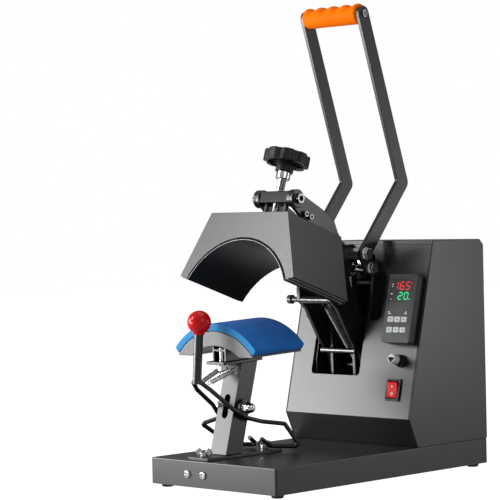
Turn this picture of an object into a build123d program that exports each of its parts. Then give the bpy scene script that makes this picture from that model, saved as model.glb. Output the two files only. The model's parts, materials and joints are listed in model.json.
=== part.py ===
"""Curved clamshell heat press for caps, as an assembly of separate pieces.

Frame: +X is the operator's right, +Y runs from the operator to the back, +Z is up.
The model is worked out from the base: x = 0 on the base's centre line, y = 0 at its
front wall, z = 0 at the lower edge of its walls. Every piece is moved by the same
amount as it is written, so that the origin ends at the middle of the whole machine's
footprint, on the table. The press stands open, with the handle up.
"""
from build123d import *
from math import atan2, cos, degrees, hypot, pi, radians, sin, sqrt, tan
import os

# ---------------------------------------------------------------- driving dimensions, mm
SHEET = 2.0               # folded steel sheet of the base and the tower
RUN = 0.05                # radial play of a shaft in its hole

BASE_WIDTH = 230.0
BASE_DEPTH = 442.0
BASE_HEIGHT = 35.3
FOOT_HEIGHT = 5.0
FOOT_RADIUS = 9.0
FRONT_SCREW_Z = 17.0
WING_SCREW_Y = (17.0, 134.0)

TOWER_TOP = 318.7
PANEL_LOW = (268.3, 75.4)      # y, z of the front panel's lower bend
PANEL_HIGH = (327.3, 318.7)    # y, z of the front panel's upper edge
CHIN_FOOT = 286.5              # y where the chin meets the base
SLOT_HALF = 44.5          # the arm slot and its wide notch, from the press's middle
NOTCH_HALF = 70.5
SLOT_UP = (57.4, 231.0)   # distances up the panel
NOTCH_UP = (136.4, 205.4)
COVER_LIP = 5.0

PRESS_X = -31.0           # the press stands left of the base's centre line
CLOSE_ANGLE = 21.0        # the arms' swing from open to closed
HANDLE_SWING = 60.0       # the handle's swing on the arms in the same travel
LINK_SWING = 17.5         # the toggle links' swing in the same travel

MAIN_PIVOT = (361.9, 106.9)    # y, z of each axis
HANDLE_PIVOT = (289.6, 301.3)
LINK_TOP = (300.5, 280.5)
LINK_FOOT = (308.0, 101.0)
CROSSBAR = (171.0, 380.0)
FRONT_SPACER = (245.0, 238.0)
LOWER_SPACER = (291.5, 164.0)
STOP_ROD = (327.0, 259.0)
SPRING_ROD = (324.0, 142.0)
SPRING_ROD_RADIUS = 4.0
CLAMP_PIVOT = (76.0, 101.0)
CAP_SCREWS = ((188.5, 358.5), (198.5, 354.5))

ARM_INNER = 26.0          # distances from the press's middle plane
ARM_THICK = 6.0
FRAME_INNER = 41.0
FRAME_THICK = 5.0
LINK_INNER = 18.0
LINK_THICK = 5.0
HANDLE_INNER = 49.2
HANDLE_THICK = 6.0
GUIDE_PIN_X = 18.0
GUIDE_PIN_RADIUS = 3.5
BOLT_BITE = 3.5           # how far the crossbar's bolts reach into its ends
LINK_EYE_PLAY = 4.2       # the links' top eye is slotted to let the toggle swing

HANDLE_BEND = (374.5, 401.5)
HANDLE_TOP = (294.5, 637.5)
HANDLE_WIDTH = 22.0
GRIP_RADIUS = 14.5

HEAD_TILT = 18.7          # the open head's front is raised
HEAD_FRONT = (81.8, 271.8)     # y, z of the front face at the legs' inner corners
HEAD_LENGTH = 113.0
HEAD_HEIGHT = 96.0
HEAD_TOP_HALF = 71.7
HEAD_LEG_HALF = 106.4
HEAD_LEG_RISE = 4.8
HEAT_RADIUS = 98.7        # the hot face's radius
HEAT_CENTRE = -42.4       # height of its centre above the legs' inner corners
HEAT_THICK = 3.0
HEAD_TRAVEL = 8.0         # how far the pressure screw lifts the head
SCREW_LEAD = 2.0          # lift per turn
HEAD_TOE = 89.1           # the legs' inner corners, from the middle
KNOB_RADIUS = 32.0
KNOB_LOW = 50.5           # heights above the crossbar's middle
KNOB_HIGH = 66.5

PLATEN_TILT = 2.3
PLATEN_FRONT = (43.4, 114.7)   # y, z of the curved platen's axis at its front end
PLATEN_LENGTH = 96.0
PAD_RADIUS = 100.5
PAD_THICK = 10.5
PAD_HALF_ANGLE = 49.2
BASE_SOLE = 55.8          # height of the platen's flat ends above its axis
ARCH_TOP = 70.0
ARCH_HALF = 44.0

POST_SIZE = 30.0
POST_LEAN = 15.5
POST_FRONT = 43.0         # y of the post's front face at its foot
FOOT_PLATE_THICK = 4.0
TOP_PLATE_FRONT = 41.0
TOP_PLATE_LENGTH = 75.0
TOP_PLATE_TOP = 163.5     # z of its upper face at the front
STUD_Y = 14.0             # the platen's stud, from the top plate's front edge
HUB_INNER = POST_SIZE / 2 + 0.6
HUB_THICK = 3.4

BALL_CENTRE = (12.7, 217.4)
BALL_RADIUS = 16.0
WIRE_RADIUS = 3.0

CONTROLLER_X = 85.0
CONTROLLER_UP = 151.0     # distances up the slanted panel from its lower bend
FUSE_X = 87.0
FUSE_UP = 80.0
ROCKER_X = 80.0
ROCKER_UP = 39.5
KEY_TRAVEL = 0.8
CONTROLLER_PROUD = 18.0
KEY_SIZE = (10.0, 7.7)
KEY_PITCH = (11.8, 14.6)
KEY_CENTRE_UP = -23.2     # the middle of the two rows, from the controller's middle
ROCKER_AXIS = 1.0         # the rocker's axle, out of the panel
ROCKER_REST = 8.0         # the rocker rests tilted, switched on

INLET_X = 60.0
INLET_Z = 70.0
INLET_DEPTH = 2.5         # how far the power inlet stands out at the back

# ---------------------------------------------------------------- frames and placing
HEAD_REACH = HEAD_LEG_HALF - PRESS_X
FRONT_SCREW_X = (PRESS_X - 14.6, PRESS_X + 14.6)
SADDLE_LOW = TOP_PLATE_TOP - PLATEN_FRONT[1] + 0.2
FOOTPRINT_X = (BASE_WIDTH / 2 - HEAD_REACH) / 2
BALL_FRONT = BALL_CENTRE[0] - BALL_RADIUS
FOOTPRINT_Y = (BASE_DEPTH + INLET_DEPTH + BALL_FRONT) / 2
TO_TABLE = Location((-FOOTPRINT_X, -FOOTPRINT_Y, FOOT_HEIGHT))

PANEL_TILT = atan2(PANEL_HIGH[0] - PANEL_LOW[0], PANEL_HIGH[1] - PANEL_LOW[1])
TILT = radians(HEAD_TILT)
HEAD_UP = (0, sin(TILT), cos(TILT))
PLATEN_SLOPE = radians(PLATEN_TILT)


def head_frame():
    """Local x across, local y up out of the head's top, local z to the front."""
    origin = (PRESS_X, HEAD_FRONT[0], HEAD_FRONT[1])
    return Plane(origin=origin, x_dir=(1, 0, 0), z_dir=(0, -cos(TILT), sin(TILT)))


def platen_frame():
    """Local x across, local y up, local z along the curved platen's axis to the front."""
    origin = (PRESS_X, PLATEN_FRONT[0], PLATEN_FRONT[1])
    return Plane(origin=origin, x_dir=(1, 0, 0), z_dir=(0, -cos(PLATEN_SLOPE), -sin(PLATEN_SLOPE)))


def panel_frame(x, up):
    """A frame on the slanted panel: local y up the slope, local z out of the panel."""
    y = PANEL_LOW[0] + up * sin(PANEL_TILT)
    z = PANEL_LOW[1] + up * cos(PANEL_TILT)
    return Plane(origin=(x, y, z), x_dir=(1, 0, 0), z_dir=(0, -cos(PANEL_TILT), sin(PANEL_TILT)))


def screw_frame(height):
    """A frame on the pressure screw's axis, at a height above the crossbar's middle."""
    y = CROSSBAR[0] + height * HEAD_UP[1]
    z = CROSSBAR[1] + height * HEAD_UP[2]
    return Plane(origin=(PRESS_X, y, z), x_dir=(1, 0, 0), z_dir=HEAD_UP)


# ---------------------------------------------------------------- small helpers
def block(x, y, z):
    """A box from three (low, high) pairs."""
    size = Box(x[1] - x[0], y[1] - y[0], z[1] - z[0])
    return Pos((x[0] + x[1]) / 2, (y[0] + y[1]) / 2, (z[0] + z[1]) / 2) * size


def side_plate(outline, x_low, x_high):
    """A plate whose outline of (y, z) points lies in the side plane."""
    face = make_face(Polyline(*outline, close=True))
    return Pos(x_low, 0, 0) * extrude(Plane.YZ * face, x_high - x_low)


def cross_rod(at, x_low, x_high, radius):
    """A round rod along X through a (y, z) point."""
    rod = Rot(0, 90, 0) * Cylinder(radius, x_high - x_low)
    return Pos((x_low + x_high) / 2, at[0], at[1]) * rod


def press_rod(at, reach, radius):
    """A cross rod that reaches the same distance either side of the press's middle."""
    return cross_rod(at, PRESS_X - reach, PRESS_X + reach, radius)


def rod_between(start, end, radius):
    """A round rod from one point to another."""
    axis = Vector(*end) - Vector(*start)
    plane = Plane(origin=start, z_dir=axis)
    return plane * Cylinder(radius, axis.length, align=(Align.CENTER, Align.CENTER, Align.MIN))


def standing(plane, radius, low, high, sides=0):
    """A round or many-sided rod along a frame's z, from one height to another."""
    if sides:
        rod = extrude(RegularPolygon(radius, sides), high - low)
    else:
        rod = Cylinder(radius, high - low, align=(Align.CENTER, Align.CENTER, Align.MIN))
    return plane * (Pos(0, 0, low) * rod)


def bar_outline(points, width):
    """A flat bar of even width along a line of (y, z) points, with round ends and bends."""
    face = None
    for (y0, z0), (y1, z1) in zip(points, points[1:]):
        run = hypot(y1 - y0, z1 - z0)
        turn = degrees(atan2(z1 - z0, y1 - y0))
        step = Pos((y0 + y1) / 2, (z0 + z1) / 2) * Rot(0, 0, turn) * Rectangle(run, width)
        step = step + Pos(y0, z0) * Circle(width / 2) + Pos(y1, z1) * Circle(width / 2)
        face = step if face is None else face + step
    return face


def mirrored(outer_face, thick):
    """The x limits of a left and a right plate whose outer or inner faces are mirrored."""
    low, high = outer_face, outer_face + thick
    return {"left": (PRESS_X - high, PRESS_X - low), "right": (PRESS_X + low, PRESS_X + high)}


def offset_line(points, distance):
    """The line of points moved sideways to its left by a distance, with mitred corners."""
    normals = []
    for (y0, z0), (y1, z1) in zip(points, points[1:]):
        run = hypot(y1 - y0, z1 - z0)
        normals.append(((z0 - z1) / run, (y1 - y0) / run))
    moved = []
    for point, before, after in zip(points, normals[:1] + normals, normals + normals[-1:]):
        ny = (before[0] + after[0]) / 2
        nz = (before[1] + after[1]) / 2
        scale = distance / (ny * ny + nz * nz)
        moved.append((point[0] + ny * scale, point[1] + nz * scale))
    return moved


def folded_sheet(points, x_low, x_high):
    """A folded sheet whose outer face follows (y, z) points, thick to their left."""
    inner = offset_line(points, SHEET)
    return side_plate(list(points) + inner[::-1], x_low, x_high)


def hex_bolt(at, x_face, side, radius, head, washer_radius, washer):
    """A washer and hexagon head that stand out of a side face, to the left or the right."""
    disc = cross_rod(at, min(x_face, x_face + side * washer), max(x_face, x_face + side * washer),
                     washer_radius)
    x_head = x_face + side * washer
    hexagon = extrude(Plane.YZ * RegularPolygon(radius, 6), head)
    x_low = min(x_head, x_head + side * head)
    return disc + Pos(x_low, at[0], at[1]) * hexagon


# ---------------------------------------------------------------- base
def base_tray():
    """The base: a folded tray, open below, with holes for the screws that pass it."""
    half = BASE_WIDTH / 2
    tray = block((-half, half), (0, BASE_DEPTH), (0, BASE_HEIGHT))
    tray = fillet(tray.edges().filter_by(Axis.Z), 3.0)
    tray = fillet(tray.faces().sort_by(Axis.Z)[-1].edges(), 1.5)
    wall = SHEET
    tray -= block((wall - half, half - wall), (wall, BASE_DEPTH - wall), (-1, BASE_HEIGHT - wall))
    for x in FRONT_SCREW_X:
        tray -= Pos(x, 0, FRONT_SCREW_Z) * Rot(90, 0, 0) * Cylinder(2.7, 10)
    for y in WING_SCREW_Y:
        tray -= Pos(PRESS_X, y, BASE_HEIGHT) * Cylinder(3.1, 10)
    return tray


def base_floor():
    """The plate that closes the base from below, between its walls."""
    half = BASE_WIDTH / 2 - SHEET - 0.5
    return block((-half, half), (SHEET + 0.5, BASE_DEPTH - SHEET - 0.5), (0, 1.5))


def rubber_feet():
    feet = []
    for x in (-101, 101):
        for y in (17, BASE_DEPTH - 17):
            foot = Cone(FOOT_RADIUS - 1.5, FOOT_RADIUS, FOOT_HEIGHT)
            feet.append(Pos(x, y, -FOOT_HEIGHT / 2) * foot)
    return feet


def base_front_screws():
    """Two cross-head screws through the base's front wall."""
    screws = []
    for x in FRONT_SCREW_X:
        head = Pos(0, 0, 1.4) * Cylinder(5.3, 2.8)
        head = fillet(head.edges().group_by(Axis.Z)[-1], 1.8)
        for turn in (0, 90):
            head -= Pos(0, 0, 2.6) * Rot(0, 0, turn) * Box(5.0, 1.0, 2.6)
        shank = Pos(0, 0, -4.5) * Cylinder(2.6, 9)
        screws.append(Pos(x, 0, FRONT_SCREW_Z) * Rot(90, 0, 0) * (head + shank))
    return screws


# ---------------------------------------------------------------- tower


def tower_front_panel():
    """The slanted front with its chin, the arm slot and the openings for the controls."""
    top = (PANEL_HIGH[0] - (COVER_LIP + 0.2) * tan(PANEL_TILT), PANEL_HIGH[1] - COVER_LIP - 0.2)
    half = BASE_WIDTH / 2 - SHEET - 0.2
    panel = folded_sheet([top, PANEL_LOW, (CHIN_FOOT, BASE_HEIGHT)], -half, half)
    slot = RectangleRounded(2 * SLOT_HALF, SLOT_UP[1] - SLOT_UP[0], 5)
    notch = RectangleRounded(2 * NOTCH_HALF, NOTCH_UP[1] - NOTCH_UP[0], 9)
    for shape, span in ((slot, SLOT_UP), (notch, NOTCH_UP)):
        panel -= panel_frame(PRESS_X, sum(span) / 2) * extrude(shape, 8, both=True)
    body = Rectangle(45, 92)
    panel -= panel_frame(CONTROLLER_X, CONTROLLER_UP) * extrude(body, 8, both=True)
    panel -= panel_frame(FUSE_X, FUSE_UP) * Cylinder(6.4, 16)
    panel -= panel_frame(ROCKER_X, ROCKER_UP) * extrude(Rectangle(22, 28), 8, both=True)
    return panel


def tower_side(x_low):
    """A side cheek, flush with the side of the base."""
    back = BASE_DEPTH
    outline = [(CHIN_FOOT, BASE_HEIGHT), PANEL_LOW, PANEL_HIGH, (back - 10, TOWER_TOP),
               (back - 2, TOWER_TOP - 8), (back, BASE_HEIGHT)]
    return side_plate(outline, x_low, x_low + SHEET)


def tower_back_cover():
    """The top and the back in one folded sheet, with cooling slots and the inlet's hole."""
    half = BASE_WIDTH / 2 - SHEET - 0.2
    back = BASE_DEPTH
    lip = (PANEL_HIGH[0] - COVER_LIP * tan(PANEL_TILT), TOWER_TOP - COVER_LIP)
    line = [(back, BASE_HEIGHT + 0.1), (back - 2, TOWER_TOP - 8), (back - 10, TOWER_TOP), PANEL_HIGH, lip]
    cover = folded_sheet(line, -half, half)
    for z in range(200, 272, 9):
        for x in (-60, 0, 60):
            cover -= block((x - 22, x + 22), (back - 8, back + 4), (z, z + 4))
    cover -= block((INLET_X - 13.6, INLET_X + 13.6), (back - 8, back + 4),
                   (INLET_Z - 10.1, INLET_Z + 10.1))
    return cover


def power_inlet():
    """A three-pin mains inlet in the back, with its socket open to the rear."""
    y = BASE_DEPTH
    flange = block((INLET_X - 20, INLET_X + 20), (y + 0.05, y + INLET_DEPTH), (INLET_Z - 13, INLET_Z + 13))
    body = block((INLET_X - 13.4, INLET_X + 13.4), (y - 20, y + 0.05), (INLET_Z - 9.9, INLET_Z + 9.9))
    inlet = flange + body
    inlet -= block((INLET_X - 12, INLET_X + 12), (y - 16, y + 5), (INLET_Z - 8.2, INLET_Z + 8.2))
    for x, z in ((-7, -2), (0, 2), (7, -2)):
        inlet += block((INLET_X + x - 1, INLET_X + x + 1), (y - 17, y - 6),
                       (INLET_Z + z - 2, INLET_Z + z + 2))
    return inlet


# ---------------------------------------------------------------- inner frame
def frame_plate(limits):
    """One of the two upright plates that carry the shafts, with a foot on the base."""
    outline = [(292, BASE_HEIGHT), (424, BASE_HEIGHT), (424, 62), (392, 110), (352, 274),
               (318, 274), (312, 240), (290, 150), (290, 60)]
    plate = side_plate(outline, *limits)
    holes = ((MAIN_PIVOT, 8), (LINK_FOOT, 6), (STOP_ROD, 3.2), (SPRING_ROD, SPRING_ROD_RADIUS))
    for at, radius in holes:
        plate -= press_rod(at, 60, radius + RUN)
    outward = 1 if limits[0] > PRESS_X else -1
    edge = limits[1] if outward > 0 else limits[0]
    foot = block(sorted((edge, edge + outward * 14)), (300, 416), (BASE_HEIGHT, BASE_HEIGHT + 4))
    return plate + foot


def frame_shafts():
    """The main pivot and the links' foot, each with a collar outside the frame plates."""
    reach = FRAME_INNER + FRAME_THICK
    shafts = []
    for at, radius in ((MAIN_PIVOT, 8), (LINK_FOOT, 6)):
        shaft = press_rod(at, reach + 9, radius)
        for side in (-1, 1):
            near = PRESS_X + side * (reach + 0.3)
            far = PRESS_X + side * (reach + 7)
            shaft += cross_rod(at, min(near, far), max(near, far), radius + 3.5)
        shafts.append(shaft)
    return shafts


def frame_rods():
    """The upper tie rod of the frame plates and the rod that the return spring hooks on."""
    reach = FRAME_INNER + FRAME_THICK + 2
    return [press_rod(STOP_ROD, reach, 3.2), press_rod(SPRING_ROD, reach, SPRING_ROD_RADIUS)]


def switch_bracket():
    """A folded tab with a hole on the stop side of the frame, which holds the switch."""
    face = make_face(Polyline((-17, 0), (17, 0), (8, 13), (-8, 13), close=True))
    face -= Pos(0, 6.5) * Circle(2.6)
    tab = Pos(PRESS_X, 333, 279) * (Rot(90, 0, 0) * extrude(face, 2, both=True))
    left = PRESS_X - FRAME_INNER
    shelf = block((left, PRESS_X + FRAME_INNER), (331, 343), (276, 279))
    strut = block((left - 4.8, left), (331, 343), (274, 279))
    strut += block((PRESS_X + FRAME_INNER, PRESS_X + FRAME_INNER + 4.8), (331, 343), (274, 279))
    return tab + shelf + strut


def limit_switch():
    """The small switch under the bracket that starts the timer."""
    body = block((PRESS_X - 13, PRESS_X + 13), (327, 341), (265, 275.9))
    return fillet(body.edges().filter_by(Axis.Y), 1)


def solid_state_relay():
    body = block((20, 62), (375, 398), (45, 103))
    body += block((16, 66), (398, 402), (41, 107))
    for x in (29, 53):
        for z in (52, 96):
            body += Pos(x, 373.5, z) * Rot(90, 0, 0) * Cylinder(4, 3)
    return body


# ---------------------------------------------------------------- post and platen
def post_foot_plate():
    """The narrow plate that clamps the post to the base."""
    plate = block((PRESS_X - 20, PRESS_X + 20), (5, 149),
                  (BASE_HEIGHT, BASE_HEIGHT + FOOT_PLATE_THICK))
    plate = fillet(plate.edges().filter_by(Axis.Z), 3)
    for y in WING_SCREW_Y:
        plate -= Pos(PRESS_X, y, BASE_HEIGHT) * Cylinder(3.1, 20)
    return plate


def foot_wing_screws():
    """Two wing screws that hold the foot plate."""
    top = BASE_HEIGHT + FOOT_PLATE_THICK
    screws = []
    for y in WING_SCREW_Y:
        screw = Pos(0, 0, -7) * Cylinder(3.0, 14)
        screw += Pos(0, 0, 3) * Cylinder(5.5, 6)
        for side in (-1, 1):
            wing = Pos(side * 7.2, 0, 6.5) * Rot(0, side * 35, 0) * Box(8.5, 2.2, 8)
            screw += wing
        screws.append(Pos(PRESS_X, y, top) * Rot(0, 0, 20) * screw)
    return screws


def post_section(inset, low, high):
    """The leaning post's square outline between two heights, as a solid."""
    lean = tan(radians(POST_LEAN))
    foot = BASE_HEIGHT + FOOT_PLATE_THICK
    depth = POST_SIZE / cos(radians(POST_LEAN))
    front = POST_FRONT + inset / cos(radians(POST_LEAN))
    back = POST_FRONT + depth - inset / cos(radians(POST_LEAN))
    outline = [(front + (low - foot) * lean, low), (back + (low - foot) * lean, low),
               (back + (high - foot) * lean, high), (front + (high - foot) * lean, high)]
    half = POST_SIZE / 2 - inset
    return side_plate(outline, PRESS_X - half, PRESS_X + half)


def platen_post():
    """The leaning square tube, cut level at its foot and to the top plate's slope."""
    foot = BASE_HEIGHT + FOOT_PLATE_THICK
    top = TOP_PLATE_TOP
    post = post_section(0, foot, top) - post_section(2.5, foot - 5, top + 5)
    post -= press_rod(CLAMP_PIVOT, 30, 4 + RUN)
    lean = tan(radians(POST_LEAN))
    window_z = 103
    window_y = POST_FRONT + (window_z - foot) * lean
    window = Rot(90 - POST_LEAN, 0, 0) * extrude(SlotOverall(32, 9, 90), 7, both=True)
    post -= Pos(PRESS_X, window_y, window_z) * window
    cut = block((PRESS_X - 40, PRESS_X + 40), (-20, 200), (0, 60))
    slope = Pos(0, TOP_PLATE_FRONT, TOP_PLATE_TOP - 4.1) * Rot(PLATEN_TILT, 0, 0)
    return post - slope * Pos(0, -TOP_PLATE_FRONT, 0) * cut


def post_top_plate():
    """The plate on the post that the platen is clamped to."""
    plate = block((PRESS_X - 18, PRESS_X + 18), (0, TOP_PLATE_LENGTH), (-4, 0))
    plate = fillet(plate.edges().filter_by(Axis.Z), 3)
    plate -= Pos(PRESS_X, STUD_Y, 0) * Cylinder(4.2, 20)
    return Pos(0, TOP_PLATE_FRONT, TOP_PLATE_TOP) * Rot(PLATEN_TILT, 0, 0) * plate


def platen_stud():
    """The platen's stud, its washer and its domed nut below the top plate."""
    stud = Pos(0, 0, 2) * Cylinder(4.0, 32)
    stud += Pos(0, 0, -5.3) * Cylinder(9, 2)
    stud += Pos(0, 0, -12.3) * extrude(RegularPolygon(7.2, 6), 6)
    stud += Pos(0, 0, -12.5) * Sphere(6.0)
    stud = Pos(PRESS_X, STUD_Y, 0) * stud
    return Pos(0, TOP_PLATE_FRONT, TOP_PLATE_TOP) * Rot(PLATEN_TILT, 0, 0) * stud


def arc_point(radius, turn):
    """A point on a circle about the platen's axis, turned from the vertical."""
    return (radius * sin(radians(turn)), radius * cos(radians(turn)))


def pad_end(inset):
    """Where the pad's cut end meets its lower face."""
    outer = arc_point(PAD_RADIUS, PAD_HALF_ANGLE)
    cut = radians(38)
    reach = PAD_THICK / cos(radians(PAD_HALF_ANGLE - 38)) + inset
    return (outer[0] - reach * sin(cut), outer[1] - reach * cos(cut))


def platen_pad():
    """The curved foam pad, with its ends cut back."""
    outer = arc_point(PAD_RADIUS, PAD_HALF_ANGLE)
    low = pad_end(0)
    inner_radius = hypot(*low)
    lines = ThreePointArc((-outer[0], outer[1]), (0, PAD_RADIUS), outer)
    lines += Line(outer, low)
    lines += ThreePointArc(low, (0, inner_radius), (-low[0], low[1]))
    lines += Line((-low[0], low[1]), (-outer[0], outer[1]))
    return platen_frame() * extrude(make_face(lines), -PLATEN_LENGTH)


def platen_base():
    """The rigid crescent under the pad, arched below, with flat ends."""
    tip = pad_end(0.15)
    radius = hypot(*tip)
    toe = (tip[0] - (tip[1] - BASE_SOLE) * tan(radians(38)), BASE_SOLE)
    lines = ThreePointArc((-tip[0], tip[1]), (0, radius), tip)
    lines += Line(tip, toe)
    lines += Line(toe, (ARCH_HALF, BASE_SOLE))
    lines += ThreePointArc((ARCH_HALF, BASE_SOLE), (0, ARCH_TOP), (-ARCH_HALF, BASE_SOLE))
    lines += Line((-ARCH_HALF, BASE_SOLE), (-toe[0], BASE_SOLE))
    lines += Line((-toe[0], BASE_SOLE), (-tip[0], tip[1]))
    body = platen_frame() * extrude(make_face(lines), -PLATEN_LENGTH)
    return body - platen_saddle_block(0.1)


def platen_saddle_block(play):
    """The space of the channel under the platen, grown by a play."""
    width = 12.5 + play
    face = make_face(Polyline((-width, SADDLE_LOW), (width, SADDLE_LOW), (width, 76 + play),
                              (-width, 76 + play), close=True))
    span = platen_frame() * (Pos(0, 0, -8 + play) * extrude(face, -(70 + 2 * play)))
    return span


def platen_saddle():
    """The channel that joins the platen to the top plate, with a guide tab each side."""
    saddle = platen_saddle_block(0)
    low = SADDLE_LOW
    hollow = make_face(Polyline((-9.5, low - 1), (9.5, low - 1), (9.5, 72), (-9.5, 72), close=True))
    saddle -= platen_frame() * (Pos(0, 0, 1) * extrude(hollow, -90))
    web = make_face(Polyline((-9.5, 62), (9.5, 62), (9.5, 65), (-9.5, 65), close=True))
    saddle += platen_frame() * (Pos(0, 0, -8) * extrude(web, -70))
    hole = Pos(PRESS_X, STUD_Y, 0) * Cylinder(4 + RUN, 60)
    saddle -= Pos(0, TOP_PLATE_FRONT, TOP_PLATE_TOP) * Rot(PLATEN_TILT, 0, 0) * hole
    return saddle


# ---------------------------------------------------------------- cap clamp


def clamp_lever():
    """The bent wire bail on the post's pivot, its two hubs and the upright tube."""
    right = [(13, 114, 55.5), (16.5, 130, 44), (45, 157, 43.5), (32, 141, 74.5), (23, 106, 80),
             (22.2, 80, 86.5), (22.2, 53, 99.5), (13, 19, 128), (7, 6, 139)]
    left = [(-7, 6, 139), (-13, 19, 128), (-22.2, 58, 104), (-22.2, 72, 86), (-46, 60, 77),
            (-46, 82, 64), (-43, 118, 44), (-16.5, 136, 44), (-13, 118, 55.5)]
    points = [(PRESS_X + x, y, z) for x, y, z in right + left]
    path = FilletPolyline(*points, radius=4.0)
    start = Plane(origin=path @ 0, z_dir=path % 0)
    wire = sweep(start * Circle(WIRE_RADIUS), path=path)
    for side in (-1, 1):
        near = PRESS_X + side * HUB_INNER
        far = PRESS_X + side * (HUB_INNER + HUB_THICK + 1.5)
        wire += cross_rod(CLAMP_PIVOT, min(near, far), max(near, far), 11)
    wire -= press_rod(CLAMP_PIVOT, 40, 4 + RUN)
    tube_foot = (PRESS_X, 6.2, 137)
    tube_top = (PRESS_X, BALL_CENTRE[0] - 0.6, BALL_CENTRE[1] - 8)
    return wire + rod_between(tube_foot, tube_top, 6)


def clamp_ball():
    """The round knob on the clamp lever."""
    ball = Pos(PRESS_X, *BALL_CENTRE) * Sphere(BALL_RADIUS)
    tube_foot = (PRESS_X, 6.2, 137)
    tube_top = (PRESS_X, BALL_CENTRE[0] - 0.6, BALL_CENTRE[1] - 8)
    return ball - rod_between(tube_foot, tube_top, 6 + RUN)


def clamp_pivot_bolt():
    """The bolt through the post, with a flat head on the left and a domed nut on the right."""
    hub = HUB_INNER + HUB_THICK + 1.5
    bolt = cross_rod(CLAMP_PIVOT, PRESS_X - hub - 5, PRESS_X + hub + 8, 4)
    left = PRESS_X - hub - 0.4
    right = PRESS_X + hub + 0.4
    bolt += cross_rod(CLAMP_PIVOT, left - 5, left, 8)
    bolt += cross_rod(CLAMP_PIVOT, right, right + 1.6, 8.2)
    dome = fillet(Cylinder(6.6, 14).edges().group_by(Axis.Z)[-1], 5.5)
    nut = Pos(0, 0, 7) * dome + extrude(RegularPolygon(8, 6), 6.5)
    return [bolt, Pos(right + 1.6, *CLAMP_PIVOT) * Rot(0, 90, 0) * nut - bolt]


def clamp_springs():
    """Two tension springs from the top plate to the clamp lever."""
    springs = []
    for side in (-1, 1):
        start = (PRESS_X + side * 14, 68, 154)
        end = (PRESS_X + side * 8, 20, 137)
        springs.append(rod_between(start, end, 3.8))
    return springs


# ---------------------------------------------------------------- arms
def arm_outline():
    """An arm's side outline: over the head, down behind it and back to the main pivot."""
    points = [(167, 391.5), (178, 389.8), (228, 364), (251, 348), (258, 332), (267, 320), (274, 314),
              (289.6, 315), (303, 308), (302, 294), (287, 287), (281, 268), (288, 243), (308, 214),
              (350, 168), (376, 120), (372, 94), (345, 88), (306, 141), (300.5, 160), (284, 176), (254.5, 224.3),
              (240, 236), (239, 252), (243, 280), (236, 315), (224, 336), (181, 356), (168, 368)]
    return make_face(Polyline(*points, close=True)) + Pos(*CROSSBAR) * Circle(12.5)


def arm_plate(limits):
    """One of the two arm plates, with its holes."""
    plate = Pos(limits[0], 0, 0) * extrude(Plane.YZ * arm_outline(), limits[1] - limits[0])
    plate += cross_rod(MAIN_PIVOT, limits[0], limits[1], 15)
    holes = [(MAIN_PIVOT, 8), (HANDLE_PIVOT, 6), (FRONT_SPACER, 4), (LOWER_SPACER, 4),
             (CROSSBAR, 4)]
    holes += [(at, 2.5) for at in CAP_SCREWS]
    for at, radius in holes:
        plate -= press_rod(at, 90, radius + RUN)
    return plate - spring_rod_slot()


def spring_rod_slot():
    """The curved slot about the main pivot that clears the frame's spring rod."""
    y, z = SPRING_ROD[0] - MAIN_PIVOT[0], SPRING_ROD[1] - MAIN_PIVOT[1]
    turn = degrees(atan2(z, y))
    arc = CenterArc(MAIN_PIVOT, hypot(y, z), turn - CLOSE_ANGLE - 3, CLOSE_ANGLE + 6)
    face = Plane.YZ * SlotArc(arc, 2 * (SPRING_ROD_RADIUS + 0.6))
    return Pos(PRESS_X, 0, 0) * extrude(face, 60, both=True)


def crossbar():
    """The square bar between the arms' front ends, bored for the screw and two guide pins."""
    size = Box(2 * ARM_INNER - 0.1, 20, 16.5)
    bar = screw_frame(0) * fillet(size.edges().filter_by(Axis.X), 1.2)
    bar -= screw_frame(0) * Cylinder(6 + RUN, 40)
    for x in (-GUIDE_PIN_X, GUIDE_PIN_X):
        bar -= screw_frame(0) * (Pos(x, 0, 0) * Cylinder(GUIDE_PIN_RADIUS + RUN, 40))
    for side in (-1, 1):
        ends = sorted((PRESS_X + side * (ARM_INNER - BOLT_BITE - 0.1), PRESS_X + side * 27))
        bar -= cross_rod(CROSSBAR, *ends, 4 + RUN)
    return bar


def arm_bolts():
    """The crossbar's hexagon bolts and the small cap screws on the arms' outer faces."""
    outer = ARM_INNER + ARM_THICK
    bolts = []
    for side in (-1, 1):
        face = PRESS_X + side * outer
        shank = cross_rod(CROSSBAR, *sorted((PRESS_X + side * (ARM_INNER - BOLT_BITE), face)), 4)
        bolts.append(shank + hex_bolt(CROSSBAR, face, side, 7.8, 6, 12, 5))
        for at in CAP_SCREWS:
            inner = PRESS_X + side * (ARM_INNER - 1.5)
            screw = cross_rod(at, *sorted((face + side * 5, face)), 4.2)
            bolts.append(screw + cross_rod(at, *sorted((inner, face)), 2.5))
    return bolts


def arm_spacers():
    """The long front spacer, with a nut outside each arm, and the short lower spacer."""
    outer = ARM_INNER + ARM_THICK
    front = press_rod(FRONT_SPACER, outer + 20, 4)
    for side in (-1, 1):
        near = PRESS_X + side * (outer + 12)
        front += cross_rod(FRONT_SPACER, *sorted((near, near + side * 7)), 6.5)
        near = PRESS_X + side * (ARM_INNER - 0.1)
        front += cross_rod(FRONT_SPACER, *sorted((near, PRESS_X)), 5.2)
    return [front, press_rod(LOWER_SPACER, outer, 4)]


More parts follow.
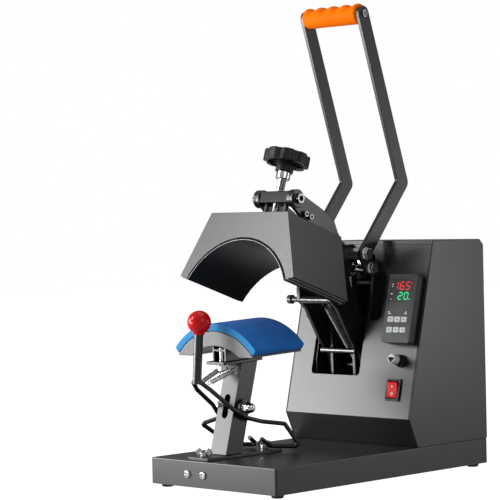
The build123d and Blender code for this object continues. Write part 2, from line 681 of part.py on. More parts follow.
def handle_shaft():
    """The shaft that the handle swings on, held in the arms, with a bolt head each end."""
    reach = HANDLE_INNER + HANDLE_THICK + 0.3
    shaft = press_rod(HANDLE_PIVOT, reach, 6)
    for side in (-1, 1):
        shaft += hex_bolt(HANDLE_PIVOT, PRESS_X + side * reach, side, 8.2, 5, 9.5, 1.5)
        near = PRESS_X + side * (ARM_INNER + ARM_THICK + 0.1)
        far = PRESS_X + side * (HANDLE_INNER - 0.3)
        shaft += cross_rod(HANDLE_PIVOT, *sorted((near, far)), 9)
    return shaft


# ---------------------------------------------------------------- handle and links


def handle_bar(limits):
    """One side bar of the handle, cranked at its bend, with a tail to the links' shaft."""
    face = bar_outline([HANDLE_TOP, HANDLE_BEND, HANDLE_PIVOT], HANDLE_WIDTH)
    face += bar_outline([HANDLE_PIVOT, LINK_TOP], 22)
    bar = Pos(limits[0], 0, 0) * extrude(Plane.YZ * face, limits[1] - limits[0])
    for at, radius in ((HANDLE_TOP, 3), (HANDLE_PIVOT, 6), (LINK_TOP, 5)):
        bar -= press_rod(at, 90, radius + RUN)
    return bar


def handle_grip():
    """The grip between the bars, with finger hollows along its back."""
    reach = HANDLE_INNER - 0.1
    grip = press_rod(HANDLE_TOP, reach, GRIP_RADIUS)
    lean = atan2(HANDLE_TOP[1] - HANDLE_BEND[1], HANDLE_TOP[0] - HANDLE_BEND[0])
    for step in (-1.5, -0.5, 0.5, 1.5):
        hollow = Pos(0, cos(lean) * 21.5, sin(lean) * 21.5) * Rot(degrees(lean) - 90, 0, 0) * Sphere(11)
        grip -= Pos(PRESS_X + step * 23, *HANDLE_TOP) * hollow
    return grip - press_rod(HANDLE_TOP, 60, 3 + RUN)


def grip_bolt():
    """The long bolt through the grip and both bars."""
    reach = HANDLE_INNER + HANDLE_THICK + 0.1
    bolt = press_rod(HANDLE_TOP, reach, 3)
    for side in (-1, 1):
        near = PRESS_X + side * reach
        bolt += cross_rod(HANDLE_TOP, *sorted((near, near + side * 3)), 5)
    return bolt


def link_shaft():
    """The shaft between the handle's tails that the links pull on."""
    reach = HANDLE_INNER + HANDLE_THICK + 0.1
    shaft = press_rod(LINK_TOP, reach, 5)
    for side in (-1, 1):
        shaft += hex_bolt(LINK_TOP, PRESS_X + side * reach, side, 7.8, 5, 9, 1.5)
    return shaft


def toggle_links():
    """The two flat links from the frame to the handle's tails."""
    links = []
    for limits in mirrored(LINK_INNER, LINK_THICK).values():
        face = bar_outline([LINK_FOOT, LINK_TOP], 13) + Pos(*LINK_TOP) * Circle(12.4)
        face += Pos(*LINK_FOOT) * Circle(11)
        link = Pos(limits[0], 0, 0) * extrude(Plane.YZ * face, limits[1] - limits[0])
        link -= press_rod(LINK_FOOT, 60, 6 + RUN)
        link -= press_rod(LINK_TOP, 60, 5 + LINK_EYE_PLAY)
        links.append(link)
    return links


def return_spring():
    """The coil spring from the arms' front spacer to its rod in the frame."""
    start = Vector(PRESS_X + 14, *FRONT_SPACER)
    end = Vector(PRESS_X + 10, *SPRING_ROD)
    along = (end - start).normalized()
    low, high = start + along * 11, end - along * 9
    return rod_between(tuple(low), tuple(high), 5)


# ---------------------------------------------------------------- head
def head_section(wall, arch_radius):
    """The head's front outline, moved in by a wall, over an arch of a radius."""
    side = atan2(HEAD_LEG_HALF - HEAD_TOP_HALF, HEAD_HEIGHT - HEAD_LEG_RISE)
    leg = atan2(HEAD_LEG_RISE, HEAD_LEG_HALF - HEAD_TOE)
    top = HEAD_HEIGHT - wall
    shoulder = HEAD_TOP_HALF + (HEAD_HEIGHT - top) * tan(side) - wall / cos(side)
    reach = HEAD_LEG_HALF - wall / cos(side) - wall * tan(side)
    rise = HEAD_LEG_RISE + wall
    toe_y = sqrt(arch_radius ** 2 - (arch_toe(arch_radius, wall, leg)) ** 2) + HEAT_CENTRE
    toe = (arch_toe(arch_radius, wall, leg), toe_y)
    lines = Polyline(toe, (reach, rise), (shoulder, top), (-shoulder, top), (-reach, rise),
                     (-toe[0], toe[1]))
    lines += ThreePointArc((-toe[0], toe[1]), (0, arch_radius + HEAT_CENTRE), toe)
    return make_face(lines)


def arch_toe(radius, wall, leg):
    """Where an arch of a radius meets the sloping underside of a leg."""
    x = HEAD_TOE
    for _ in range(30):
        height = (x - HEAD_TOE) * tan(leg) + wall
        x = sqrt(radius ** 2 - (height - HEAT_CENTRE) ** 2)
    return x


def head_housing():
    """The folded sheet-metal head: a box that is open below, where the hot face closes it."""
    shell = extrude(head_section(0, HEAT_RADIUS + HEAT_THICK + 0.1), -HEAD_LENGTH)
    cavity = extrude(head_section(SHEET, HEAT_RADIUS + HEAT_THICK), 2 * SHEET - HEAD_LENGTH)
    shell -= Pos(0, 0, -SHEET) * cavity
    return head_frame() * shell


def heating_plate():
    """The curved hot face, coated below."""
    leg = atan2(HEAD_LEG_RISE, HEAD_LEG_HALF - HEAD_TOE)
    corners = []
    for radius in (HEAT_RADIUS, HEAT_RADIUS + HEAT_THICK):
        x = arch_toe(radius, 0, leg)
        corners.append((x, sqrt(radius ** 2 - x ** 2) + HEAT_CENTRE, radius))
    (x0, y0, r0), (x1, y1, r1) = corners
    lines = ThreePointArc((-x0, y0), (0, r0 + HEAT_CENTRE), (x0, y0))
    lines += Line((x0, y0), (x1, y1))
    lines += ThreePointArc((x1, y1), (0, r1 + HEAT_CENTRE), (-x1, y1))
    lines += Line((-x1, y1), (-x0, y0))
    return head_frame() * extrude(make_face(lines), -HEAD_LENGTH)


def heater_blanket():
    """The heating element and its insulation, curved over the hot face inside the head."""
    inner = HEAT_RADIUS + HEAT_THICK + 0.2
    outer = inner + 12
    turn = radians(45)
    points = {}
    for name, radius in (("low", inner), ("high", outer)):
        points[name] = (radius * sin(turn), radius * cos(turn) + HEAT_CENTRE)
    low, high = points["low"], points["high"]
    lines = ThreePointArc((-low[0], low[1]), (0, inner + HEAT_CENTRE), low)
    lines += Line(low, high)
    lines += ThreePointArc(high, (0, outer + HEAT_CENTRE), (-high[0], high[1]))
    lines += Line((-high[0], high[1]), (-low[0], low[1]))
    blanket = extrude(make_face(lines), 6 * SHEET - HEAD_LENGTH)
    return head_frame() * (Pos(0, 0, -3 * SHEET) * blanket)


def head_top_height():
    """The head's top face, as a height on the pressure screw's axis."""
    y = CROSSBAR[0] - HEAD_FRONT[0]
    z = CROSSBAR[1] - HEAD_FRONT[1]
    return HEAD_HEIGHT - (y * HEAD_UP[1] + z * HEAD_UP[2])


def head_bracket():
    """The block on the head that takes the screw's end, and the two guide pins."""
    low = head_top_height()
    seat = fillet(Box(58, 44, 5).edges().filter_by(Axis.Z), 4)
    bracket = screw_frame(low + 2.6) * seat
    bracket += standing(screw_frame(0), 13, low + 4, low + 12)
    bracket -= standing(screw_frame(0), 6 + RUN, low + 5, low + 20)
    for x in (-GUIDE_PIN_X, GUIDE_PIN_X):
        plane = screw_frame(0) * Pos(x, 0, 0)
        pin = Cylinder(GUIDE_PIN_RADIUS, -low - 3, align=(Align.CENTER, Align.CENTER, Align.MIN))
        bracket += plane * (Pos(0, 0, low + 0.1) * pin)
    return bracket


# ---------------------------------------------------------------- pressure screw and knob


def pressure_screw():
    """The screw through the crossbar, with the collar that the knob is pinned to."""
    screw = standing(screw_frame(0), 6, head_top_height() + 5.2, 45)
    return screw + standing(screw_frame(0), 10, 28, 38.4)


def pressure_knob():
    """A lobed hand wheel, hollow and ribbed below, on a hub."""
    wheel = Circle(KNOB_RADIUS)
    lobes = 8
    for i in range(lobes):
        wheel -= Rot(0, 0, (i + 0.5) * 360 / lobes) * (Pos(KNOB_RADIUS + 4.6, 0) * Circle(8))
    body = Pos(0, 0, KNOB_LOW) * extrude(wheel, KNOB_HIGH - KNOB_LOW)
    body = fillet(body.edges().group_by(Axis.Z)[-1], 2.5)
    hollow = Cylinder(25, 11, align=(Align.CENTER, Align.CENTER, Align.MIN))
    body -= Pos(0, 0, KNOB_LOW - 0.1) * hollow
    body += Pos(0, 0, 38.5) * Cylinder(12.5, 24, align=(Align.CENTER, Align.CENTER, Align.MIN))
    for i in range(lobes):
        rib = Pos(18.5, 0, KNOB_LOW + 6.5) * Box(15, 2.5, 9)
        body += Rot(0, 0, i * 360 / lobes) * rib
    body -= Cylinder(6 + RUN, 45, align=(Align.CENTER, Align.CENTER, Align.MIN))
    return screw_frame(0) * body


# ---------------------------------------------------------------- controls


def key_places():
    """The six keys' middles on the controller's face, row by row from the top left."""
    places = []
    for row in (0.5, -0.5):
        for column in (-1, 0, 1):
            places.append((column * KEY_PITCH[0], KEY_CENTRE_UP + row * KEY_PITCH[1]))
    return places


def controller_housing():
    """The temperature and time controller's case, through the panel, with key openings."""
    front = fillet(Box(48, 96, CONTROLLER_PROUD - 2).edges().filter_by(Axis.Z), 2)
    case = Pos(0, 0, (CONTROLLER_PROUD - 2) / 2 + 0.05) * front
    case += Pos(0, 0, -22) * Box(44.6, 91.6, 48)
    for x, y in key_places():
        case -= Pos(x, y, CONTROLLER_PROUD - 2) * Box(KEY_SIZE[0] + 1, KEY_SIZE[1] + 1, 8)
    return panel_frame(CONTROLLER_X, CONTROLLER_UP) * case


def controller_bezel():
    """The controller's front plate, with a sunk display window and the key openings."""
    plate = Box(48, 96, 2)
    plate = fillet(plate.edges().filter_by(Axis.Z), 2)
    plate -= Pos(0, 20, 1) * Box(40, 44, 1.2)
    for x, y in key_places():
        plate -= Pos(x, y, 0) * Box(KEY_SIZE[0] + 0.4, KEY_SIZE[1] + 0.4, 8)
    return panel_frame(CONTROLLER_X, CONTROLLER_UP) * (Pos(0, 0, CONTROLLER_PROUD - 0.95) * plate)


def controller_key(place):
    """A key cap that slides in the controller's face."""
    cap = Box(KEY_SIZE[0], KEY_SIZE[1], 4.2)
    cap = fillet(cap.edges().group_by(Axis.Z)[-1], 0.6)
    at = Pos(place[0], place[1], CONTROLLER_PROUD + 1.1 - 2.1)
    return panel_frame(CONTROLLER_X, CONTROLLER_UP) * (at * cap)


def fuse_holder():
    """The fuse holder's flange and body through the panel."""
    frame = panel_frame(FUSE_X, FUSE_UP)
    holder = standing(frame, 9, 0.05, 4) + standing(frame, 7.6, 0.05, 11)
    holder += standing(frame, 6.2, -28, 0.1)
    return holder - standing(frame, 5 + RUN, 2, 20)


def fuse_cap():
    """The fuse carrier's cap, turned to open, with a slot across it."""
    frame = panel_frame(FUSE_X, FUSE_UP)
    cap = standing(frame, 5, 2.2, 13) + standing(frame, 6.4, 11.2, 23)
    return cap - frame * (Pos(0, 0, 23) * Box(9, 1.6, 3))


def rocker_bezel():
    """The power switch's frame through the panel."""
    bezel = Pos(0, 0, 1.3) * fillet(Box(25, 31, 2.5).edges().filter_by(Axis.Z), 1.5)
    bezel += Pos(0, 0, -9) * Box(21.6, 27.6, 18.2)
    bezel -= Pos(0, 0, 0) * Box(18.4, 25, 11)
    return panel_frame(ROCKER_X, ROCKER_UP) * bezel


def rocker():
    """The rocker: two faces that meet at a shallow angle, on a round axle."""
    half = 11.0
    points = [(-half, 3.6), (-half + 0.6, -2.8), (half - 0.6, -2.8), (half, 3.6), (0, 2.4)]
    belly = make_face(Polyline(*points, close=True))
    body = Pos(-8.7, 0, 0) * extrude(Plane.YZ * belly, 17.4)
    body = Rot(ROCKER_REST, 0, 0) * body + Rot(0, 90, 0) * Cylinder(1.5, 18.2)
    return panel_frame(ROCKER_X, ROCKER_UP) * (Pos(0, 0, ROCKER_AXIS) * body)


# ---------------------------------------------------------------- writing the parts
def all_nodes():
    """Every node's solids, by its file name."""
    left, right = "left", "right"
    arms = mirrored(ARM_INNER, ARM_THICK)
    frames = mirrored(FRAME_INNER, FRAME_THICK)
    bars = mirrored(HANDLE_INNER, HANDLE_THICK)
    half = BASE_WIDTH / 2
    nodes = {
        "base_tray": base_tray(),
        "base_floor": base_floor(),
        "rubber_feet": rubber_feet(),
        "base_front_screws": base_front_screws(),
        "tower_front_panel": tower_front_panel(),
        "tower_side_left": tower_side(-half),
        "tower_side_right": tower_side(half - SHEET),
        "tower_back_cover": tower_back_cover(),
        "power_inlet": power_inlet(),
        "frame_plate_left": frame_plate(frames[left]),
        "frame_plate_right": frame_plate(frames[right]),
        "frame_shafts": frame_shafts(),
        "frame_rods": frame_rods(),
        "switch_bracket": switch_bracket(),
        "limit_switch": limit_switch(),
        "solid_state_relay": solid_state_relay(),
        "post_foot_plate": post_foot_plate(),
        "foot_wing_screws": foot_wing_screws(),
        "platen_post": platen_post(),
        "post_top_plate": post_top_plate(),
        "platen_stud": platen_stud(),
        "platen_base": platen_base(),
        "platen_pad": platen_pad(),
        "platen_saddle": platen_saddle(),
        "clamp_lever": clamp_lever(),
        "clamp_ball": clamp_ball(),
        "clamp_pivot_bolt": clamp_pivot_bolt(),
        "clamp_springs": clamp_springs(),
        "arm_plate_left": arm_plate(arms[left]),
        "arm_plate_right": arm_plate(arms[right]),
        "crossbar": crossbar(),
        "arm_bolts": arm_bolts(),
        "arm_spacers": arm_spacers(),
        "handle_shaft": handle_shaft(),
        "handle_bar_left": handle_bar(bars[left]),
        "handle_bar_right": handle_bar(bars[right]),
        "handle_grip": handle_grip(),
        "grip_bolt": grip_bolt(),
        "link_shaft": link_shaft(),
        "toggle_links": toggle_links(),
        "return_spring": return_spring(),
        "head_housing": head_housing(),
        "heating_plate": heating_plate(),
        "heater_blanket": heater_blanket(),
        "head_bracket": head_bracket(),
        "pressure_screw": pressure_screw(),
        "pressure_knob": pressure_knob(),
        "controller_housing": controller_housing(),
        "controller_bezel": controller_bezel(),
        "fuse_holder": fuse_holder(),
        "fuse_cap": fuse_cap(),
        "rocker_bezel": rocker_bezel(),
        "rocker": rocker(),
    }
    for number, place in enumerate(key_places(), 1):
        nodes[f"controller_key_{number}"] = controller_key(place)
    return nodes


def main():
    os.makedirs("parts", exist_ok=True)
    for name, shape in all_nodes().items():
        solids = shape if isinstance(shape, list) else [shape]
        flat = [TO_TABLE * solid for group in solids for solid in group.solids()]
        export_step(flat[0] if len(flat) == 1 else Compound(children=flat), f"parts/{name}.step")


main()
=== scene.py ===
import json
import math

import bmesh
import bpy
from mathutils import Matrix, Vector


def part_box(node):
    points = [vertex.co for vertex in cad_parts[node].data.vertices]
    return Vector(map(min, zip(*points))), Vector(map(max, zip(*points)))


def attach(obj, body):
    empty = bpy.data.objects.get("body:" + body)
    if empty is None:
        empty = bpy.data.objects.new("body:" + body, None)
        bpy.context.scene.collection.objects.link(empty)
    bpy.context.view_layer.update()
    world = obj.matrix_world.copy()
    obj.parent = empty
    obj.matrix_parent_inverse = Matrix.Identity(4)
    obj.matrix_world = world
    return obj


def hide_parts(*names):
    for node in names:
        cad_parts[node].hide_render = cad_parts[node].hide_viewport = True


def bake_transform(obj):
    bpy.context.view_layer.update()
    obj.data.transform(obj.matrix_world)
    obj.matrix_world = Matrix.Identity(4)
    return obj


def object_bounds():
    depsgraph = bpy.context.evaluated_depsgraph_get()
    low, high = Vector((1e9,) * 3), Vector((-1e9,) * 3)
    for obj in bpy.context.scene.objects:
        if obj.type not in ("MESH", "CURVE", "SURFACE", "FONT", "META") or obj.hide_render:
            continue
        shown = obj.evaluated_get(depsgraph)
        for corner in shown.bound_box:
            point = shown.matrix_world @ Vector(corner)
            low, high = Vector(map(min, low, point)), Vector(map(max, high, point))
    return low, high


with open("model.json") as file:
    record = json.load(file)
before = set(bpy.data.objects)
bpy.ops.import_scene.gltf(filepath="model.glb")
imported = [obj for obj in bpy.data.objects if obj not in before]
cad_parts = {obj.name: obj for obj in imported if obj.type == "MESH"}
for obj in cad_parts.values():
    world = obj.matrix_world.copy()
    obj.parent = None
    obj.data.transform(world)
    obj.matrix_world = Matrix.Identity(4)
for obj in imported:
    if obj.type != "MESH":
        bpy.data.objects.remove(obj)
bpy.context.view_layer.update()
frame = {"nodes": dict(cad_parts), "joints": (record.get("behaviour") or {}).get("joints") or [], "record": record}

MM = 0.001
PRESS_X = -19.8 * MM                     # the press's middle plane

# ---------------------------------------------------------------- camera
CAMERA_AT = (1.9439, -2.1664, 0.3633)
CAMERA_TURN = math.radians(43.65)        # how far it stands round to the right
CAMERA_DIP = math.radians(0.95)
CAMERA_ROLL = math.radians(-1.08)
CAMERA_LENS = 151.03


def make_camera():
    """The camera at the viewing angle, turned, dipped and rolled."""
    turn, dip, roll = CAMERA_TURN, CAMERA_DIP, CAMERA_ROLL
    ahead = Vector((-math.sin(turn) * math.cos(dip), math.cos(turn) * math.cos(dip), -math.sin(dip)))
    level = Vector((math.cos(turn), math.sin(turn), 0))
    above = level.cross(ahead)
    right = level * math.cos(roll) + above * math.sin(roll)
    up = above * math.cos(roll) - level * math.sin(roll)
    data = bpy.data.cameras.new("camera")
    data.lens = CAMERA_LENS
    data.clip_start = 0.05
    camera = bpy.data.objects.new("camera", data)
    columns = Matrix((right, up, -ahead)).transposed().to_4x4()
    camera.matrix_world = Matrix.Translation(CAMERA_AT) @ columns
    bpy.context.collection.objects.link(camera)
    bpy.context.scene.camera = camera


make_camera()


# ---------------------------------------------------------------- material building blocks
MIX_SHARE, MIX_FROM, MIX_TO = 0, 6, 7    # the colour sockets of a Mix node
MIX_COLOUR = 2


class Look:
    """A node material that is built up step by step around one principled shader."""

    def __init__(self, name, colour, roughness, metallic=0.0, specular=0.5):
        self.material = bpy.data.materials.new(name)
        self.material.use_nodes = True
        self.tree = self.material.node_tree
        self.shader = self.tree.nodes["Principled BSDF"]
        self.shader.inputs["Metallic"].default_value = metallic
        self.shader.inputs["Specular IOR Level"].default_value = specular
        self.colour = colour
        self.roughness = roughness
        self.place = self.add("ShaderNodeTexCoord").outputs["Object"]
        self.height = None

    def add(self, kind, **values):
        """A new node of a kind, with its properties set."""
        node = self.tree.nodes.new(kind)
        for key, value in values.items():
            setattr(node, key, value)
        return node

    def link(self, output, target):
        """Joins a node's output to an input."""
        self.tree.links.new(output, target)

    def noise(self, scale, detail=3.0, stretch=None):
        """A noise over the object's own coordinates, scale in waves a metre."""
        place = self.place
        if stretch:
            mapping = self.add("ShaderNodeMapping")
            mapping.inputs["Scale"].default_value = stretch
            self.link(place, mapping.inputs["Vector"])
            place = mapping.outputs["Vector"]
        node = self.add("ShaderNodeTexNoise")
        node.inputs["Scale"].default_value = scale
        node.inputs["Detail"].default_value = detail
        self.link(place, node.inputs["Vector"])
        return node.outputs["Fac"]

    def spread(self, value, low, high, start=0.3, end=0.7):
        """Maps a texture's middle range to a low and a high number."""
        node = self.add("ShaderNodeMapRange")
        node.inputs["From Min"].default_value = start
        node.inputs["From Max"].default_value = end
        node.inputs["To Min"].default_value = low
        node.inputs["To Max"].default_value = high
        self.link(value, node.inputs["Value"])
        return node.outputs["Result"]

    def tone(self, value, other):
        """Mixes the colour towards another one by a texture."""
        node = self.add("ShaderNodeMix", data_type="RGBA")
        source = self.colour
        if isinstance(source, tuple):
            node.inputs[MIX_FROM].default_value = (*source, 1)
        else:
            self.link(source, node.inputs[MIX_FROM])
        node.inputs[MIX_TO].default_value = (*other, 1)
        self.link(value, node.inputs[MIX_SHARE])
        self.colour = node.outputs[MIX_COLOUR]
        return self

    def bump(self, value, strength, distance):
        """Adds relief on top of what there is already."""
        node = self.add("ShaderNodeBump")
        node.inputs["Strength"].default_value = strength
        node.inputs["Distance"].default_value = distance
        self.link(value, node.inputs["Height"])
        if self.height is not None:
            self.link(self.height, node.inputs["Normal"])
        self.height = node.outputs["Normal"]
        return self

    def rough(self, value, low, high):
        """Lets the roughness run from low to high by a texture."""
        self.roughness = self.spread(value, low, high)
        return self

    def facing(self, direction, start, end):
        """How far the surface's own normal turns to a direction of the object, as 0 to 1."""
        coordinates = self.add("ShaderNodeTexCoord")
        dot = self.add("ShaderNodeVectorMath", operation="DOT_PRODUCT")
        dot.inputs[1].default_value = direction
        self.link(coordinates.outputs["Normal"], dot.inputs[0])
        return self.spread(dot.outputs["Value"], 0.0, 1.0, start, end)

    def done(self, **sockets):
        """Joins colour, roughness and relief to the shader, and sets its other sockets."""
        for target, value in (("Base Color", self.colour), ("Roughness", self.roughness)):
            if isinstance(value, tuple):
                self.shader.inputs[target].default_value = (*value, 1)
            elif isinstance(value, float):
                self.shader.inputs[target].default_value = value
            else:
                self.link(value, self.shader.inputs[target])
        if self.height is not None:
            self.link(self.height, self.shader.inputs["Normal"])
        for key, value in sockets.items():
            self.shader.inputs[key.replace("_", " ")].default_value = value
        return self.material


def powder_coat(name, colour, grain=1.0, specular=0.5, low=0.30, high=0.35):
    """Satin black powder coat: a fine orange peel, faint clouding and uneven gloss."""
    look = Look(name, colour, 0.4, specular=specular)
    lighter = tuple(c * 1.25 + 0.0008 for c in colour)
    look.tone(look.spread(look.noise(22, 4), 0.0, 0.8), lighter)
    look.rough(look.noise(240, 5), low, high)
    look.bump(look.noise(2600, 2), 0.035 * grain, 0.0002)
    look.bump(look.noise(700, 2), 0.02 * grain, 0.0004)
    return look.done()


def plated(name, colour, low, high, brushed=None):
    """Plated steel with a light haze, fine marks and slightly uneven tone."""
    look = Look(name, colour, low, metallic=1.0)
    look.tone(look.spread(look.noise(160, 4), 0.0, 0.7), tuple(c * 0.72 for c in colour))
    look.rough(look.noise(420, 4), low, high)
    look.bump(look.noise(1800, 3, brushed), 0.06, 0.0002)
    return look.done()


def moulded(name, colour, low, high, grain=0.25, specular=0.5):
    """Moulded plastic with a spark-eroded grain and faint flow clouds."""
    look = Look(name, colour, low, specular=specular)
    look.tone(look.spread(look.noise(45, 4), 0.0, 0.6), tuple(c * 1.35 + 0.004 for c in colour))
    look.rough(look.noise(260, 4), low, high)
    look.bump(look.noise(3200, 2), grain, 0.00015)
    return look.done()


def glossy(name, colour, deeper, low, high, coat, specular=0.5):
    """Gloss plastic with a slightly deeper clouding and faint handling marks."""
    look = Look(name, colour, low, specular=specular)
    look.tone(look.spread(look.noise(30, 4), 0.0, 0.8), deeper)
    look.rough(look.noise(140, 5), low, high)
    look.bump(look.noise(900, 2), 0.04, 0.0002)
    return look.done(Coat_Weight=coat, Coat_Roughness=0.08)


def foam():
    """Blue silicone foam: matt skin with fine cells, paler on the cut front end."""
    look = Look("pad_foam", (0.006, 0.075, 0.29), 0.7, specular=0.1)
    look.tone(look.spread(look.noise(60, 5), 0.0, 0.7), (0.010, 0.105, 0.36))
    look.tone(look.facing((0, -1, 0), 0.6, 0.9), (0.022, 0.17, 0.38))
    cells = look.add("ShaderNodeTexVoronoi")
    cells.inputs["Scale"].default_value = 1500
    look.link(look.place, cells.inputs["Vector"])
    look.bump(cells.outputs["Distance"], 0.30, 0.0003)
    look.bump(look.noise(500, 4), 0.18, 0.0004)
    look.rough(look.noise(300, 4), 0.62, 0.80)
    return look.done(Sheen_Weight=0.04, Sheen_Roughness=0.5)


def rubber():
    """Black rubber with a matt bloom."""
    look = Look("rubber_black", (0.012, 0.012, 0.012), 0.75, specular=0.3)
    look.tone(look.spread(look.noise(120, 4), 0.0, 0.9), (0.03, 0.03, 0.03))
    look.rough(look.noise(400, 3), 0.65, 0.85)
    look.bump(look.noise(1500, 3), 0.25, 0.0002)
    return look.done()


def blanket():
    """Pale woven insulation."""
    look = Look("insulation_weave", (0.55, 0.52, 0.42), 0.9)
    wave = look.add("ShaderNodeTexWave")
    wave.inputs["Scale"].default_value = 400
    look.link(look.place, wave.inputs["Vector"])
    look.tone(look.spread(wave.outputs["Fac"], 0.0, 1.0), (0.35, 0.32, 0.25))
    look.bump(wave.outputs["Fac"], 0.5, 0.0005)
    return look.done()


def glow(name, colour, strength):
    """A lit display segment, a little uneven along its length."""
    look = Look(name, colour, 0.3)
    look.tone(look.spread(look.noise(900, 2), 0.0, 0.5), tuple(c * 0.6 for c in colour))
    material = look.done(Emission_Strength=strength)
    look.link(look.colour, look.shader.inputs["Emission Color"])
    return material


BLACK = (0.0032, 0.0033, 0.0036)
LOOKS = {
    "black_coat": powder_coat("black_coat", BLACK),
    "chrome": plated("bright_chrome", (0.55, 0.56, 0.57), 0.05, 0.12),
    "zinc": plated("zinc_plate", (0.36, 0.365, 0.37), 0.16, 0.28, (1, 1, 6)),
    "rubber": rubber(),
    "platen_plastic": powder_coat("platen_coat", (0.07, 0.07, 0.074), specular=0.35,
                                  low=0.38, high=0.44),
    "pad_foam": foam(),
    "red_gloss": glossy("red_gloss", (0.42, 0.0015, 0.004), (0.33, 0.001, 0.003),
                        0.12, 0.18, coat=0.0, specular=0.18),
    "orange_plastic": glossy("orange_grip", (0.70, 0.132, 0.001), (0.60, 0.100, 0.001),
                             0.40, 0.50, coat=0.0, specular=0.02),
    "black_plastic": moulded("black_plastic", (0.0040, 0.0040, 0.0043), 0.36, 0.46, specular=0.22),
    "grey_plastic": moulded("grey_plastic", (0.024, 0.025, 0.027), 0.42, 0.55, specular=0.4),
    "key_grey": moulded("key_grey", (0.44, 0.46, 0.47), 0.4, 0.5),
    "coated_aluminium": powder_coat("hot_face_coat", (0.005, 0.005, 0.005), grain=0.5,
                                    specular=0.22, low=0.36, high=0.44),
    "insulation": blanket(),
    "switch_red": glossy("switch_red", (0.50, 0.002, 0.004), (0.40, 0.001, 0.003),
                         0.22, 0.30, coat=0.0, specular=0.05),
}
BARE_METAL = plated("bare_aluminium", (0.42, 0.42, 0.42), 0.16, 0.28)
BOLT_METAL = plated("bolt_plate", (0.15, 0.15, 0.155), 0.12, 0.22)
LIP = powder_coat("hot_face_lip", (0.17, 0.17, 0.175))
# painted shade: a near-black, barely reflecting look for flat sheets laid where gaps and socket recesses fall into
# shade
PAINTED_SHADE = moulded("painted_shade_black", (0.002, 0.002, 0.002), 0.7, 0.8, specular=0.05)
DULL_STEEL = plated("dull_steel", (0.20, 0.20, 0.21), 0.30, 0.42)
DARK_STEEL = plated("dark_steel", (0.11, 0.11, 0.115), 0.26, 0.36)
CROSSBAR_COAT = powder_coat("crossbar_coat", BLACK, specular=0.16, low=0.36, high=0.44)
WHITE_MARK = moulded("white_mark", (0.80, 0.80, 0.78), 0.4, 0.5)
DARK_MARK = moulded("dark_mark", (0.05, 0.05, 0.055), 0.4, 0.5)
WINDOW = glossy("display_window", (0.016, 0.015, 0.016), (0.022, 0.019, 0.020), 0.34, 0.42, coat=0.0)
FUSE_TIP = glossy("fuse_tip", (0.42, 0.43, 0.44), (0.33, 0.34, 0.35), 0.15, 0.25, coat=0.2)
RED_LIGHT = glow("red_light", (0.85, 0.02, 0.025), 0.60)
GREEN_LIGHT = glow("green_light", (0.02, 0.70, 0.26), 0.75)

SLOT_OF = {row["node"]: row["material_slot"] for row in frame["record"]["subparts"]}
BODIES = frame["record"]["behaviour"]["bodies"]
BODY_OF = {node: body for body, nodes in BODIES.items() for node in nodes}


# ---------------------------------------------------------------- mesh helpers
def as_mesh(work, name):
    """The mesh of a finished bmesh, which is freed."""
    mesh = bpy.data.meshes.new(name)
    work.to_mesh(mesh)
    work.free()
    return mesh


def skin(work, rings, close=False):
    """Joins rings of points into a skin, with a flat end each or closed on itself."""
    count = len(rings[0])
    pairs = list(zip(rings, rings[1:])) + ([(rings[-1], rings[0])] if close else [])
    for low, high in pairs:
        for i in range(count):
            j = (i + 1) % count
            work.faces.new((low[i], low[j], high[j], high[i]))
    if not close:
        work.faces.new(rings[0][::-1])
        work.faces.new(rings[-1])


def piece(name, mesh, body, look, replaced=(), smooth=30):
    """Links a mesh as a piece with its material and its smoothing, on a body if one is given."""
    obj = bpy.data.objects.new(name, mesh)
    bpy.context.collection.objects.link(obj)
    mesh.materials.clear()
    mesh.materials.append(look)
    for polygon in mesh.polygons:
        polygon.use_smooth = True
    if smooth:
        mesh.set_sharp_from_angle(angle=math.radians(smooth))
    if body:
        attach(obj, body)
    if replaced:
        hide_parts(*replaced)
    return obj


SAME_POINT = 2e-6                        # corners nearer than this are one corner
FLAT_ANGLE = math.radians(0.6)           # faces that turn less than this are one face
EDGE_ANGLE = math.radians(32)            # edges sharper than this are broken


def bare_copy(node):
    """A CAD node's faces with doubled corners merged and flat faces made whole."""
    source = frame["nodes"][node].data
    mesh = bpy.data.meshes.new(node + "_plain")
    points = [v.co[:] for v in source.vertices]
    mesh.from_pydata(points, [], [p.vertices[:] for p in source.polygons])
    work = bmesh.new()
    work.from_mesh(mesh)
    bmesh.ops.remove_doubles(work, verts=work.verts, dist=SAME_POINT)
    bmesh.ops.dissolve_limit(work, angle_limit=FLAT_ANGLE, verts=work.verts, edges=work.edges)
    return as_mesh(work, node + "_shaped")


def rounded(node, width, look=None):
    """A CAD node as a piece of the same shape whose edges are broken by a real radius."""
    obj = piece(node + "_shaped", bare_copy(node), BODY_OF[node], look or LOOKS[SLOT_OF[node]],
                [node], 0)
    bevel = obj.modifiers.new("edges", "BEVEL")
    bevel.width = width * MM
    bevel.segments = 2
    bevel.limit_method = "ANGLE"
    bevel.angle_limit = EDGE_ANGLE
    bevel.use_clamp_overlap = False
    bevel.miter_outer = "MITER_ARC"
    bevel.harden_normals = True
    obj.data.set_sharp_from_angle(angle=math.radians(180))
    return obj


def lathe(profile, sides, axis_at, axis):
    """A turned shape: (radius, height) points spun round an axis through a place."""
    work = bmesh.new()
    turn = Vector((0, 0, 1)).rotation_difference(Vector(axis)).to_matrix()
    rings = []
    for radius, height in profile:
        ring = []
        for i in range(sides):
            t = 2 * math.pi * i / sides
            local = Vector((radius * math.cos(t), radius * math.sin(t), height))
            ring.append(work.verts.new(Vector(axis_at) + turn @ local))
        rings.append(ring)
    skin(work, rings)
    return as_mesh(work, "turned")


